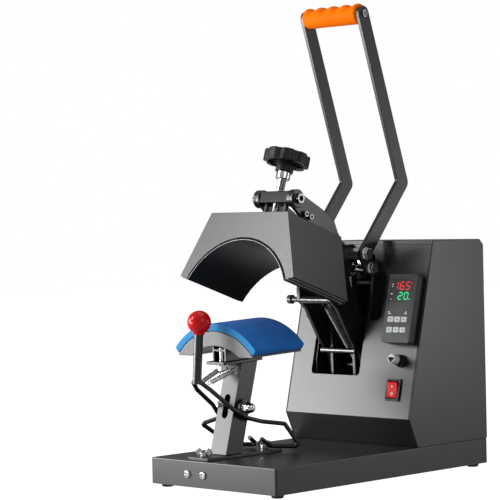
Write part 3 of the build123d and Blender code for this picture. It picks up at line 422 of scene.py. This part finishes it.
def tube(points, radius, sides=6, close=False):
    """A round tube along points, with flat ends, its rings carried without twist."""
    work = bmesh.new()
    count = len(points)
    points = [Vector(p) for p in points]
    tangents = []
    for i in range(count):
        before = points[i - 1] if i or close else points[0]
        after = points[(i + 1) % count] if i < count - 1 or close else points[-1]
        tangents.append((after - before).normalized())
    side = tangents[0].orthogonal().normalized()
    rings = []
    for point, ahead in zip(points, tangents):
        side = (side - ahead * side.dot(ahead)).normalized()
        other = ahead.cross(side)
        ring = []
        for k in range(sides):
            t = 2 * math.pi * k / sides
            ring.append(work.verts.new(point + (side * math.cos(t) + other * math.sin(t)) * radius))
        rings.append(ring)
    skin(work, rings, close)
    return as_mesh(work, "tube")


class Place:
    """A flat frame on the object: an origin, an across direction and an out direction."""

    def __init__(self, origin, across, out):
        self.origin = Vector(origin)
        self.across = Vector(across).normalized()
        self.out = Vector(out).normalized()
        self.up = self.out.cross(self.across)

    def at(self, x, y, z=0.0):
        """A point given in millimetres across, up and out."""
        return self.origin + (self.across * x + self.up * y + self.out * z) * MM


def slab(place, outline, low, high):
    """A flat outline of (x, y) points in a place's frame, made thick from low to high."""
    work = bmesh.new()
    lower = [work.verts.new(place.at(x, y, low)) for x, y in outline]
    upper = [work.verts.new(place.at(x, y, high)) for x, y in outline]
    count = len(outline)
    for i in range(count):
        j = (i + 1) % count
        work.faces.new((lower[i], lower[j], upper[j], upper[i]))
    work.faces.new(lower[::-1])
    work.faces.new(upper)
    bmesh.ops.recalc_face_normals(work, faces=work.faces)
    return as_mesh(work, "slab")


def joined(meshes, name):
    """Several meshes as one."""
    work = bmesh.new()
    for mesh in meshes:
        work.from_mesh(mesh)
    return as_mesh(work, name)


def arc(radius, start, end, steps, centre=(0.0, 0.0)):
    """Points on an arc; angles in degrees from the upright, turning to the right."""
    points = []
    for i in range(steps + 1):
        t = math.radians(start + (end - start) * i / steps)
        points.append((centre[0] + radius * math.sin(t), centre[1] + radius * math.cos(t)))
    return points


# ---------------------------------------------------------------- places on the machine
JOINT = {joint["name"]: joint for joint in frame["joints"]}
SIDEWAYS = Vector((1, 0, 0))
HEAD_UP = Vector(JOINT["head_lift"]["axis"])
SCREW_AT = Vector(JOINT["pressure_knob_turn"]["pos_m"])
PANEL_OUT = -Vector(JOINT["key_1_press"]["axis"])


def from_middle(x, y, z):
    """A point in millimetres, its x from the press's middle plane."""
    return Vector((PRESS_X + x * MM, y * MM, z * MM))


def middle(node):
    """The middle of a CAD node's box."""
    low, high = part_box(node)
    return (low + high) / 2


HEAD = Place(from_middle(0, -138.8, 276.8), SIDEWAYS, SIDEWAYS.cross(HEAD_UP))
PLATEN_SLOPE = math.radians(2.3)
PLATEN = Place(from_middle(0, -177.2, 119.7), SIDEWAYS,
               (0, -math.cos(PLATEN_SLOPE), -math.sin(PLATEN_SLOPE)))
FACE = Place(middle("controller_bezel") + PANEL_OUT * MM, SIDEWAYS, PANEL_OUT)


# ---------------------------------------------------------------- edges broken on the CAD shapes
EDGE_WIDTHS = {                          # millimetres
    "tower_front_panel": 0.8, "tower_side_left": 0.8, "tower_side_right": 0.8,
    "post_foot_plate": 0.7, "platen_post": 1.0, "post_top_plate": 0.6, "platen_base": 0.9,
    "platen_saddle": 0.5, "arm_plate_left": 0.8, "arm_plate_right": 0.8, "arm_bolts": 0.6,
    "arm_spacers": 0.5, "handle_shaft": 0.5, "link_shaft": 0.5, "handle_bar_left": 1.0,
    "handle_bar_right": 1.0, "grip_bolt": 0.8, "toggle_links": 0.6, "head_housing": 0.8,
    "head_bracket": 0.7, "pressure_knob": 0.9, "controller_housing": 0.5,
    "fuse_holder": 0.6, "fuse_cap": 0.8, "rocker_bezel": 0.5, "rocker": 0.5,
    "base_front_screws": 0.3, "foot_wing_screws": 0.7, "clamp_pivot_bolt": 0.5, "platen_stud": 0.4,
    "switch_bracket": 0.4, "limit_switch": 0.4, "power_inlet": 0.5, "rubber_feet": 0.8,
    "solid_state_relay": 0.6, "frame_plate_left": 0.6, "frame_plate_right": 0.6, "base_floor": 0.4,
    "frame_shafts": 0.5, "frame_rods": 0.5, "crossbar": 0.2,
}
KEY_EDGE = 0.5
OTHER_LOOKS = {                          # where a node's look differs from its slot's
    "fuse_cap": FUSE_TIP, "frame_rods": DARK_STEEL, "switch_bracket": BARE_METAL,
    "arm_spacers": DARK_STEEL, "arm_bolts": BOLT_METAL, "crossbar": CROSSBAR_COAT,
}


def break_edges():
    """Rounds the edges of the listed CAD shapes and the keys; the others get their looks."""
    widths = dict(EDGE_WIDTHS)
    for key in range(1, 7):
        widths[f"controller_key_{key}"] = KEY_EDGE
    for node, width in widths.items():
        rounded(node, width, OTHER_LOOKS.get(node))
    for node, obj in frame["nodes"].items():
        obj.data.materials.clear()
        obj.data.materials.append(LOOKS[SLOT_OF[node]])


break_edges()


# ---------------------------------------------------------------- foam pad
PAD_RADIUS = 100.5
PAD_TURN = 49.2                          # degrees from the top to the pad's end
PAD_UNDER_RADIUS = 90.1
PAD_UNDER_TURN = 50.4
PAD_LENGTH = 96.0
PAD_ROUND = 1.6                          # radius of the foam's soft edges
PAD_STEPS = 56                           # steps round the curve
PAD_CLEAR = 0.15                         # how far the foam's skin stays inside its solid


def pad_section(inset):
    """The pad's cross-section, drawn in by an inset: over the top and back underneath."""
    across = math.degrees(inset / PAD_RADIUS)
    corner = math.degrees(PAD_ROUND / PAD_RADIUS)
    turn = PAD_TURN - across
    top = arc(PAD_RADIUS - inset, corner - turn, turn - corner, PAD_STEPS)
    shoulder = [(PAD_RADIUS - inset - 0.45, turn - corner * 0.35),
                (PAD_RADIUS - inset - PAD_ROUND, turn)]
    right = [(r * math.sin(math.radians(t)), r * math.cos(math.radians(t))) for r, t in shoulder]
    under_turn = PAD_UNDER_TURN - across
    under = arc(PAD_UNDER_RADIUS + inset * 0.4, under_turn, -under_turn, PAD_STEPS)
    left = [(-x, y) for x, y in reversed(right)]
    return top + right + under + left


def make_pad():
    """The foam pad: soft edges all round and a skin that is not quite even."""
    slices = [(0.0, 1.3), (0.25, 0.65), (0.8, 0.18), (1.7, 0.0)]    # depth, inset
    depths = slices + [(PAD_LENGTH * i / 12, 0.0) for i in range(1, 12)]
    depths += [(PAD_LENGTH - depth, inset) for depth, inset in reversed(slices)]
    work = bmesh.new()
    rings = []
    for depth, inset in depths:
        wave = 0.12 * math.sin(depth * 0.21 + 0.7)
        ring = []
        for x, y in pad_section(inset + PAD_CLEAR + wave * 0.5):
            ring.append(work.verts.new(PLATEN.at(x, y + 0.10, -depth)))
        rings.append(ring)
    count = len(rings[0])
    for near, far in zip(rings, rings[1:]):
        for i in range(count):
            j = (i + 1) % count
            work.faces.new((near[i], far[i], far[j], near[j]))
    half = count // 2
    for ring, flip in ((rings[0], False), (rings[-1], True)):
        for i in range(half - 1):
            quad = [ring[i], ring[i + 1], ring[count - 2 - i], ring[count - 1 - i]]
            if len(set(quad)) == 4:
                work.faces.new(quad[::-1] if flip else quad)
    bmesh.ops.recalc_face_normals(work, faces=work.faces)
    pad = piece("pad_soft", as_mesh(work, "foam"), "root", LOOKS["pad_foam"], ["platen_pad"],
                0)
    fine = pad.modifiers.new("fine", "SUBSURF")
    fine.levels = 1
    fine.render_levels = 1


make_pad()


# ---------------------------------------------------------------- springs
COIL_STEPS = 12                          # points in one turn, and in a hook
HOOK_TURN = 150                          # degrees that a hook reaches either side of its middle
HOOK_SIZE = 0.72                         # a hook's radius as a share of its distance


def coil_points(start, end, radius, turns, hook):
    """A coil's centreline with a hook loop at each end."""
    ahead = (end - start).normalized()
    side = ahead.cross(SIDEWAYS).normalized()
    other = ahead.cross(side)
    points = []
    steps = turns * COIL_STEPS
    for i in range(steps + 1):
        t = 2 * math.pi * i / COIL_STEPS
        along = start + (end - start) * (i / steps)
        points.append(along + (side * math.cos(t) + other * math.sin(t)) * radius)
    loops = []
    for centre, sign in ((start - ahead * hook, 1), (end + ahead * hook, -1)):
        loop = []
        for i in range(COIL_STEPS + 1):
            t = math.radians(-HOOK_TURN + 2 * HOOK_TURN * i / COIL_STEPS)
            turned = -ahead * sign * math.cos(t) + side * math.sin(t)
            loop.append(centre + turned * hook * HOOK_SIZE)
        loops.append(loop)
    return loops[0] + points + loops[1][::-1]


def spring(top, foot, leads, radius, turns, hook, wire):
    """A spring coiled between its leads, with a hook at each end; sizes in millimetres."""
    ahead = (foot - top).normalized()
    start, end = top + ahead * leads[0] * MM, foot - ahead * leads[1] * MM
    return tube(coil_points(start, end, radius * MM, turns, hook * MM), wire * MM)


CLAMP_SPRING_TOP = (-152.6, 159)         # y, z of the two clamp springs' ends
CLAMP_SPRING_FOOT = (-200.6, 142)


def make_springs():
    """The return spring between the arms and the two small springs of the clamp."""
    mesh = spring(from_middle(14, 24.4, 243), from_middle(10, 103.4, 147), (13, 12), 4.3, 52, 8.4, 0.62)
    piece("return_spring_coil", mesh, "spring", DULL_STEEL, ["return_spring"], 0)
    coils = []
    for side in (-1, 1):
        top = from_middle(side * 14, *CLAMP_SPRING_TOP)
        foot = from_middle(side * 8, *CLAMP_SPRING_FOOT)
        coils.append(spring(top, foot, (5, 5), 3.2, 26, 3.4, 0.5))
    obj = piece("clamp_spring_coils", joined(coils, "clamp_spring_coils"), None, BARE_METAL,
                ["clamp_springs"], 0)
    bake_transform(obj)


make_springs()


# ---------------------------------------------------------------- grip, ball, screw
GRIP_REACH = 49.0
GRIP_RADIUS = 14.5
GRIP_END_ROUND = 2.6
FINGER_PITCH = 23.0
FINGER_DEPTH = 3.4
HANDLE_ALONG = (0, -80, 236)             # up the handle bars, from their bend to the grip


def make_grip():
    """The grip: round, with soft ends and four finger hollows along its outer side."""
    centre = middle("grip_bolt")
    bar = Vector(HANDLE_ALONG).normalized()
    cross = bar.cross(SIDEWAYS)
    work = bmesh.new()
    rings = []
    lengths, sides = 96, 48              # steps along the grip and round it
    for i in range(lengths + 1):
        x = GRIP_REACH * (2 * i / lengths - 1)
        from_end = GRIP_REACH - abs(x)
        near_end = GRIP_END_ROUND - min(from_end, GRIP_END_ROUND)
        round_off = GRIP_END_ROUND - math.sqrt(max(0.0, GRIP_END_ROUND ** 2 - near_end ** 2))
        finger = (0.5 + 0.5 * math.cos(2 * math.pi * (x / FINGER_PITCH - 0.5))) ** 1.3
        finger *= min(1.0, from_end / 6)
        ring = []
        for k in range(sides):
            t = 2 * math.pi * k / sides
            facing = max(0.0, math.cos(t)) ** 1.6
            radius = GRIP_RADIUS - round_off - FINGER_DEPTH * finger * facing
            outward = bar * math.cos(t) + cross * math.sin(t)
            ring.append(work.verts.new(centre + SIDEWAYS * x * MM + outward * radius * MM))
        rings.append(ring)
    skin(work, rings)
    bmesh.ops.recalc_face_normals(work, faces=work.faces)
    piece("grip_shaped", as_mesh(work, "grip"), "handle", LOOKS["orange_plastic"], ["handle_grip"],
          50)


BALL_RADIUS = 15.9
BALL_NECK = [(6.4, -16.6), (7.4, -16.4), (7.6, -14.4)]    # radius, height from the ball's middle
BALL_SIDES = 64
MOULD_LINE = 0.10                        # how far the ball's moulding line stands out
BALL_AXIS = (0, 0.07, 0.99)              # the clamp's tube leans a little to the back


def make_ball():
    """The clamp's ball: a moulding line round it and a short neck over the tube."""
    centre = middle("clamp_ball")
    profile = list(BALL_NECK)
    for i in range(6, 61):
        t = math.pi * i / 60
        if BALL_RADIUS * math.sin(t) < BALL_NECK[-1][0] and t < 1:
            continue
        swell = MOULD_LINE * math.exp(-((t - math.pi / 2) / 0.02) ** 2)
        profile.append(((BALL_RADIUS + swell) * max(math.sin(t), 0.002), -BALL_RADIUS * math.cos(t)))
    mesh = lathe([(r * MM, h * MM) for r, h in profile], BALL_SIDES, centre, BALL_AXIS)
    piece("ball_shaped", mesh, "clamp", LOOKS["red_gloss"], ["clamp_ball"], 35)


THREAD_PITCH = 2.0
THREAD_ROOT = 5.25
THREAD_DEPTH = 0.70
THREAD_SPAN = (-29.8, 44.9)              # along the screw, from the crossbar's middle
COLLAR = [(6.2, 28), (9.2, 28), (9.9, 28.7), (9.9, 37.6), (9.2, 38.3), (6.2, 38.3)]
COLLAR_SIDES = 40


def make_screw():
    """The pressure screw with a real thread, and its plain collar under the knob."""
    low, high = THREAD_SPAN
    work = bmesh.new()
    turn = Vector((0, 0, 1)).rotation_difference(HEAD_UP).to_matrix()
    sides, step = 24, 0.4                # points round the screw, and the height between rings
    rings = []
    for i in range(int((high - low) / step) + 1):
        height = low + i * step
        ring = []
        for k in range(sides):
            t = 2 * math.pi * k / sides
            phase = (height / THREAD_PITCH + k / sides) % 1.0
            radius = THREAD_ROOT + THREAD_DEPTH * abs(2 * phase - 1)
            local = Vector((radius * math.cos(t), radius * math.sin(t), height)) * MM
            ring.append(work.verts.new(SCREW_AT + turn @ local))
        rings.append(ring)
    skin(work, rings)
    collar = lathe([(r * MM, h * MM) for r, h in COLLAR], COLLAR_SIDES, SCREW_AT, HEAD_UP)
    mesh = joined([as_mesh(work, "thread"), collar], "screw")
    piece("pressure_screw_threaded", mesh, "knob", LOOKS["chrome"], ["pressure_screw"])


make_grip()
make_ball()
make_screw()


# ---------------------------------------------------------------- head trims
HOT_RADIUS = 98.7
ARC_CENTRE = (0.0, -42.4)
ARC_TURN = 63.5                          # degrees from the top of the arch to its ends
ARC_STEPS = 72
HEAD_LENGTH = 113.0
LEG_IN, LEG_OUT, LEG_RISE = 89.1, 106.4, 4.8     # the legs' lower corners
HEM_WIDTH = 0.9
HEM_SHARES = (0.36, 0.72)                # where the hems lie across a leg


def head_rim():
    """The hot face's bare front lip, and a band of painted shade for the gap between it and the housing."""
    # the gap band is painted shade: a flat near-black strip, a little proud of the housing, where the gap falls
    # into shade
    bands = (("hot_face_rim", 0.05, 0.75, 0.5, LIP), ("hot_face_gap_shade", 0.75, 3.9, 0.3, PAINTED_SHADE))
    for name, inner, outer, proud, look in bands:
        outline = arc(HOT_RADIUS + outer, -ARC_TURN, ARC_TURN, ARC_STEPS, ARC_CENTRE)
        outline += arc(HOT_RADIUS + inner, ARC_TURN, -ARC_TURN, ARC_STEPS, ARC_CENTRE)
        piece(name, slab(HEAD, outline, -0.8, proud), "head", look, ())


def head_hems():
    """The folded lips under each leg: two narrow ridges that run back along the head."""
    toe, corner = Vector((LEG_IN, 0.0)), Vector((LEG_OUT, LEG_RISE))
    along = (corner - toe).normalized()
    down = Vector((along.y, -along.x))
    meshes = []
    for side in (-1, 1):
        for share in HEM_SHARES:
            near = toe.lerp(corner, share)
            far = near + along * HEM_WIDTH
            corners = [near - down * 0.3, far - down * 0.3, far + down * 0.7, near + down * 0.7]
            meshes.append(slab(HEAD, [(side * c.x, c.y) for c in corners], -HEAD_LENGTH + 0.6, -0.6))
    piece("head_hems", joined(meshes, "hems"), "head", LIP, ())


CROSSBAR_AT = (-49.6, 385.0)             # y, z of the crossbar's bolts
COLLAR_START = 11.2                      # from the bolt heads' outer faces in to the collar
COLLAR_PROFILE = [(8.0, 0.0), (12.35, 0.0), (12.6, 0.6), (12.6, 4.6), (11.9, 5.3), (8.0, 5.3)]


def bolt_collars():
    """The black collars behind the crossbar's bolts."""
    low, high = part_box("arm_bolts")
    start = (high.x - low.x) / 2 / MM - COLLAR_START
    profile = [(r * MM, (start + h) * MM) for r, h in COLLAR_PROFILE]
    for side, name in ((-1, "left"), (1, "right")):
        mesh = lathe(profile, COLLAR_SIDES, from_middle(0, *CROSSBAR_AT), (side, 0, 0))
        piece("bolt_collar_" + name, mesh, "arm", LOOKS["black_coat"], (), 35)


# y, z, the face's distance from the middle plane, the socket's radius
BOLT_HEADS = ((*CROSSBAR_AT, 43.1, 4.3), (-32.1, 363.5, 37.1, 2.3), (-22.1, 359.5, 37.1, 2.3))


def bolt_socket_shades():
    """Painted shade for the hexagon sockets in the bolts on the arms' outer faces: flat near-black hexagons, not
    real recesses.
    """
    meshes = []
    for y, z, reach, radius in BOLT_HEADS:
        hexagon = arc(radius, 0, 300, 5)
        for side in (-1, 1):
            spot = Place(from_middle(side * reach, y, z), (0, side, 0), (side, 0, 0))
            meshes.append(slab(spot, hexagon, -0.3, 0.12))
    # painted shade: flat near-black hexagons stand where the sockets' recesses would be in shade
    piece("bolt_socket_shades", joined(meshes, "sockets"), "arm", PAINTED_SHADE, ())


head_rim()
head_hems()
bolt_collars()
bolt_socket_shades()


# ---------------------------------------------------------------- controls
SEGMENTS = {"1": "bc", "2": "abged", "5": "afgcd", "6": "afgedc", "0": "abcdef"}
SEGMENT_THICK = 1.35
SEGMENT_GAP = 0.25
DIGIT_LEAN = 0.10
DISPLAY_SUNK = -0.25                     # the window's floor, from the face, with its pane on top
# the pale legends: x, y, width, height on the controller's face
LEGENDS_IN_WINDOW = ((-16.4, 33.5, 2.2, 1.0), (-16.4, 30.5, 1.4, 1.0), (-16.6, 20.0, 2.8, 1.0),
                     (-16.4, 12.5, 1.6, 1.0))
LEGENDS_ON_FACE = ((-17.5, -5.4, 3.0, 0.9), (-15.5, -7.6, 4.6, 0.9), (13.5, -5.4, 2.2, 0.9),
                   (13.0, -7.6, 5.0, 0.9))
KEY_TOP = 2.1                            # from a key's middle to its face
ROCKER_REST = math.radians(8)
ROCKER_RING_AT = 5.4                     # the ring's distance below the axle
ROCKER_FALL = 0.109                      # how fast a rocker face rises to its end


def bar_outline(x0, y0, x1, y1, thick):
    """A display segment: a bar with pointed ends between two points."""
    a, b = Vector((x0, y0)), Vector((x1, y1))
    along = (b - a).normalized()
    side = Vector((-along.y, along.x)) * thick / 2
    tip = along * thick / 2
    shape = [a, a + tip + side, b - tip + side, b, b - tip - side, a + tip - side]
    return [(p.x, p.y) for p in shape]


def rectangle(x, y, wide, high):
    """The corners of a rectangle about its middle."""
    return [(x - wide / 2, y - high / 2), (x + wide / 2, y - high / 2),
            (x + wide / 2, y + high / 2), (x - wide / 2, y + high / 2)]


def digit(glyph, x, y, width, height):
    """One seven-segment digit's lit bars, leaning a little."""
    w, h = width / 2, height / 2
    ends = {"a": (-w, h, w, h), "b": (w, h, w, 0), "c": (w, 0, w, -h), "d": (-w, -h, w, -h),
            "e": (-w, 0, -w, -h), "f": (-w, h, -w, 0), "g": (-w, 0, w, 0)}
    meshes = []
    for letter in SEGMENTS[glyph]:
        x0, y0, x1, y1 = ends[letter]
        pull_x = SEGMENT_GAP * (1 if x1 > x0 else 0)
        pull_y = SEGMENT_GAP * (1 if y0 > y1 else 0)
        bar = (x0 + pull_x + y0 * DIGIT_LEAN, y0 - pull_y, x1 - pull_x + y1 * DIGIT_LEAN, y1 + pull_y)
        outline = [(x + a, y + b) for a, b in bar_outline(*bar, SEGMENT_THICK)]
        meshes.append(slab(FACE, outline, DISPLAY_SUNK, DISPLAY_SUNK + 0.22))
    return meshes


def number(text, x, y, pitch, width, height, dot):
    """A row of lit digits and the lit dot after them."""
    meshes = []
    for i, glyph in enumerate(text):
        meshes += digit(glyph, x + i * pitch, y, width, height)
    dot_radius, dot_at = dot
    outline = arc(dot_radius, 0, 360, 11, dot_at)
    meshes.append(slab(FACE, outline, DISPLAY_SUNK, DISPLAY_SUNK + 0.2))
    return joined(meshes, "number")


def make_display():
    """The sunk window, its lit digits, and the pale legends beside and below them."""
    window = slab(FACE, rectangle(0, 20, 39.2, 42.8), -0.9, DISPLAY_SUNK)
    piece("display_window", window, "root", WINDOW, ())
    upper = number("165", -10.3, 31.6, 10.6, 6.4, 10.4, (0.8, (16.6, 35.2)))
    lower = number("20", -1.0, 17.2, 10.4, 6.2, 9.6, (0.7, (15.6, 12.8)))
    piece("display_red", upper, "root", RED_LIGHT, ())
    piece("display_green", lower, "root", GREEN_LIGHT, ())
    marks = [slab(FACE, rectangle(*at), DISPLAY_SUNK, DISPLAY_SUNK + 0.12) for at in LEGENDS_IN_WINDOW]
    marks += [slab(FACE, rectangle(*at), 0.0, 0.10) for at in LEGENDS_ON_FACE]
    piece("face_legends", joined(marks, "legends"), "root", WHITE_MARK, ())


def key_symbols(key):
    """The outlines of a key's symbol: two bars, or a triangle up, down, right or left."""
    if key in (1, 4):
        return [[(-2.2, -1.5), (2.2, -1.5), (2.2, -0.7), (-2.2, -0.7)],
                [(-2.2, 0.4), (2.2, 0.4), (2.2, 1.2), (-2.2, 1.2)]]
    if key in (2, 5):
        flip = 1 if key == 2 else -1
        return [[(-2.2, -1.1 * flip), (2.2, -1.1 * flip), (0, 1.6 * flip)]]
    flip = 1 if key == 3 else -1
    return [[(-1.5 * flip, -1.7), (-1.5 * flip, 1.7), (1.7 * flip, 0)]]


def key_marks():
    """A small raised symbol on each key."""
    for key in range(1, 7):
        node = f"controller_key_{key}"
        spot = Place(middle(node) + PANEL_OUT * KEY_TOP * MM, SIDEWAYS, PANEL_OUT)
        meshes = [slab(spot, shape, -0.05, 0.10) for shape in key_symbols(key)]
        piece(f"key_mark_{key}", joined(meshes, "mark"), BODY_OF[node], DARK_MARK, ())


def rocker_marks():
    """The rocker's line and ring, on its two faces."""
    up = PANEL_OUT.cross(SIDEWAYS)
    tilted = PANEL_OUT * math.cos(ROCKER_REST) - up * math.sin(ROCKER_REST)
    spot = Place(JOINT["power_rocker"]["pos_m"], SIDEWAYS, tilted)
    line = [(-0.55, 3.4), (0.55, 3.4), (0.55, 7.4), (-0.55, 7.4)]
    ring = []
    steps = 24
    for i in range(steps):
        t = 2 * math.pi * i / steps
        ring.append(spot.at(1.7 * math.sin(t), -ROCKER_RING_AT + 1.9 * math.cos(t),
                            2.4 + ROCKER_RING_AT * ROCKER_FALL))
    meshes = [slab(spot, line, 2.7, 3.05), tube(ring, 0.36 * MM, close=True)]
    piece("rocker_marks", joined(meshes, "marks"), "rocker_switch", WHITE_MARK, ())


make_display()
key_marks()
rocker_marks()


# ---------------------------------------------------------------- floor, light and background
FLOOR_SEEN = 1.32                        # the floor's own glow as the camera sees it, and as a light
FLOOR_GLOW = 0.60
FLOOR_LIT = 0.78                         # the glow's share of the floor, beside its matt white
FLOOR_WHITE = (0.85, 0.85, 0.85, 1)
FLOOR_REACH = 6.0
FLOOR_BELOW = 0.0002                     # under the feet, so that the faces don't coincide
WORLD_BRIGHT_SIDE = (0.25, -0.45, 0.75)
WORLD_DIM, WORLD_BRIGHT = 0.06, 0.70
WORLD_TURN = 0.9                         # how far from the bright side the light keeps changing
LIGHTS = (                               # name, place, aim, width, height, watts
    ("key_low", (-1.25, -0.86, 0.43), (0, 0, 0.15), 0.8, 0.60, 21),
    ("key_high", (-0.80, -1.08, 1.00), (0, 0, 0.30), 0.5, 0.5, 11.5),
    ("key_floor", (-1.0, -1.35, 0.14), (0, 0, 0.10), 0.8, 0.34, 18),
    ("fill_right", (1.9, -0.6, 1.1), (0, 0.1, 0.25), 0.9, 0.9, 6),
    ("edge_right", (1.33, 1.32, 0.14), (0, 0.1, 0.16), 0.35, 0.9, 4.8),
    ("edge_high", (1.0, 1.37, 1.2), (0, -0.1, 0.33), 0.5, 0.5, 2.2),
    ("top", (0.1, 0.1, 1.9), (0, 0, 0.2), 1.2, 1.2, 8),
)


def area_light(name, at, aim, width, height, power):
    """A rectangular soft light at a place, turned to its aim."""
    data = bpy.data.lights.new(name, "AREA")
    data.shape = "RECTANGLE"
    data.size, data.size_y = width, height
    data.energy = power
    light = bpy.data.objects.new(name, data)
    light.location = at
    light.rotation_mode = "QUATERNION"
    light.rotation_quaternion = (Vector(aim) - Vector(at)).to_track_quat("-Z", "Y")
    bpy.context.collection.objects.link(light)


def make_floor():
    """A pale floor that fades to the white background."""
    work = bmesh.new()
    for x, y in ((-1, -1), (1, -1), (1, 1), (-1, 1)):
        work.verts.new((x * FLOOR_REACH, y * FLOOR_REACH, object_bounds()[0].z - FLOOR_BELOW))
    work.faces.new(work.verts)
    mesh = as_mesh(work, "floor")
    floor = bpy.data.objects.new("floor", mesh)
    bpy.context.collection.objects.link(floor)
    material = bpy.data.materials.new("floor_white")
    material.use_nodes = True
    tree = material.node_tree
    tree.nodes.clear()
    output = tree.nodes.new("ShaderNodeOutputMaterial")
    mix = tree.nodes.new("ShaderNodeMixShader")
    mix.inputs["Fac"].default_value = FLOOR_LIT
    matt = tree.nodes.new("ShaderNodeBsdfDiffuse")
    matt.inputs["Color"].default_value = FLOOR_WHITE
    lit = tree.nodes.new("ShaderNodeEmission")
    path = tree.nodes.new("ShaderNodeLightPath")
    level = tree.nodes.new("ShaderNodeMapRange")
    level.inputs["To Min"].default_value = FLOOR_GLOW
    level.inputs["To Max"].default_value = FLOOR_SEEN
    tree.links.new(path.outputs["Is Camera Ray"], level.inputs["Value"])
    tree.links.new(level.outputs["Result"], lit.inputs["Strength"])
    tree.links.new(matt.outputs[0], mix.inputs[1])
    tree.links.new(lit.outputs[0], mix.inputs[2])
    tree.links.new(mix.outputs[0], output.inputs["Surface"])
    mesh.materials.append(material)


def make_world():
    """White where the camera looks past the floor; softer, darker to the rear, as a light."""
    world = bpy.data.worlds.new("studio")
    bpy.context.scene.world = world
    world.use_nodes = True
    tree = world.node_tree
    tree.nodes.clear()
    output = tree.nodes.new("ShaderNodeOutputWorld")
    white = tree.nodes.new("ShaderNodeBackground")
    white.inputs["Color"].default_value = (1, 1, 1, 1)
    soft = tree.nodes.new("ShaderNodeBackground")
    coordinates = tree.nodes.new("ShaderNodeTexCoord")
    dot = tree.nodes.new("ShaderNodeVectorMath")
    dot.operation = "DOT_PRODUCT"
    dot.inputs[1].default_value = WORLD_BRIGHT_SIDE
    ramp = tree.nodes.new("ShaderNodeMapRange")
    ramp.inputs["From Min"].default_value = -WORLD_TURN
    ramp.inputs["From Max"].default_value = WORLD_TURN
    ramp.inputs["To Min"].default_value = WORLD_DIM
    ramp.inputs["To Max"].default_value = WORLD_BRIGHT
    path = tree.nodes.new("ShaderNodeLightPath")
    mix = tree.nodes.new("ShaderNodeMixShader")
    tree.links.new(coordinates.outputs["Generated"], dot.inputs[0])
    tree.links.new(dot.outputs["Value"], ramp.inputs["Value"])
    tree.links.new(ramp.outputs["Result"], soft.inputs["Strength"])
    tree.links.new(path.outputs["Is Camera Ray"], mix.inputs["Fac"])
    tree.links.new(soft.outputs[0], mix.inputs[1])
    tree.links.new(white.outputs[0], mix.inputs[2])
    tree.links.new(mix.outputs[0], output.inputs["Surface"])


make_floor()
make_world()
for light_row in LIGHTS:
    area_light(*light_row)
bpy.context.scene.view_settings.view_transform = "Standard"
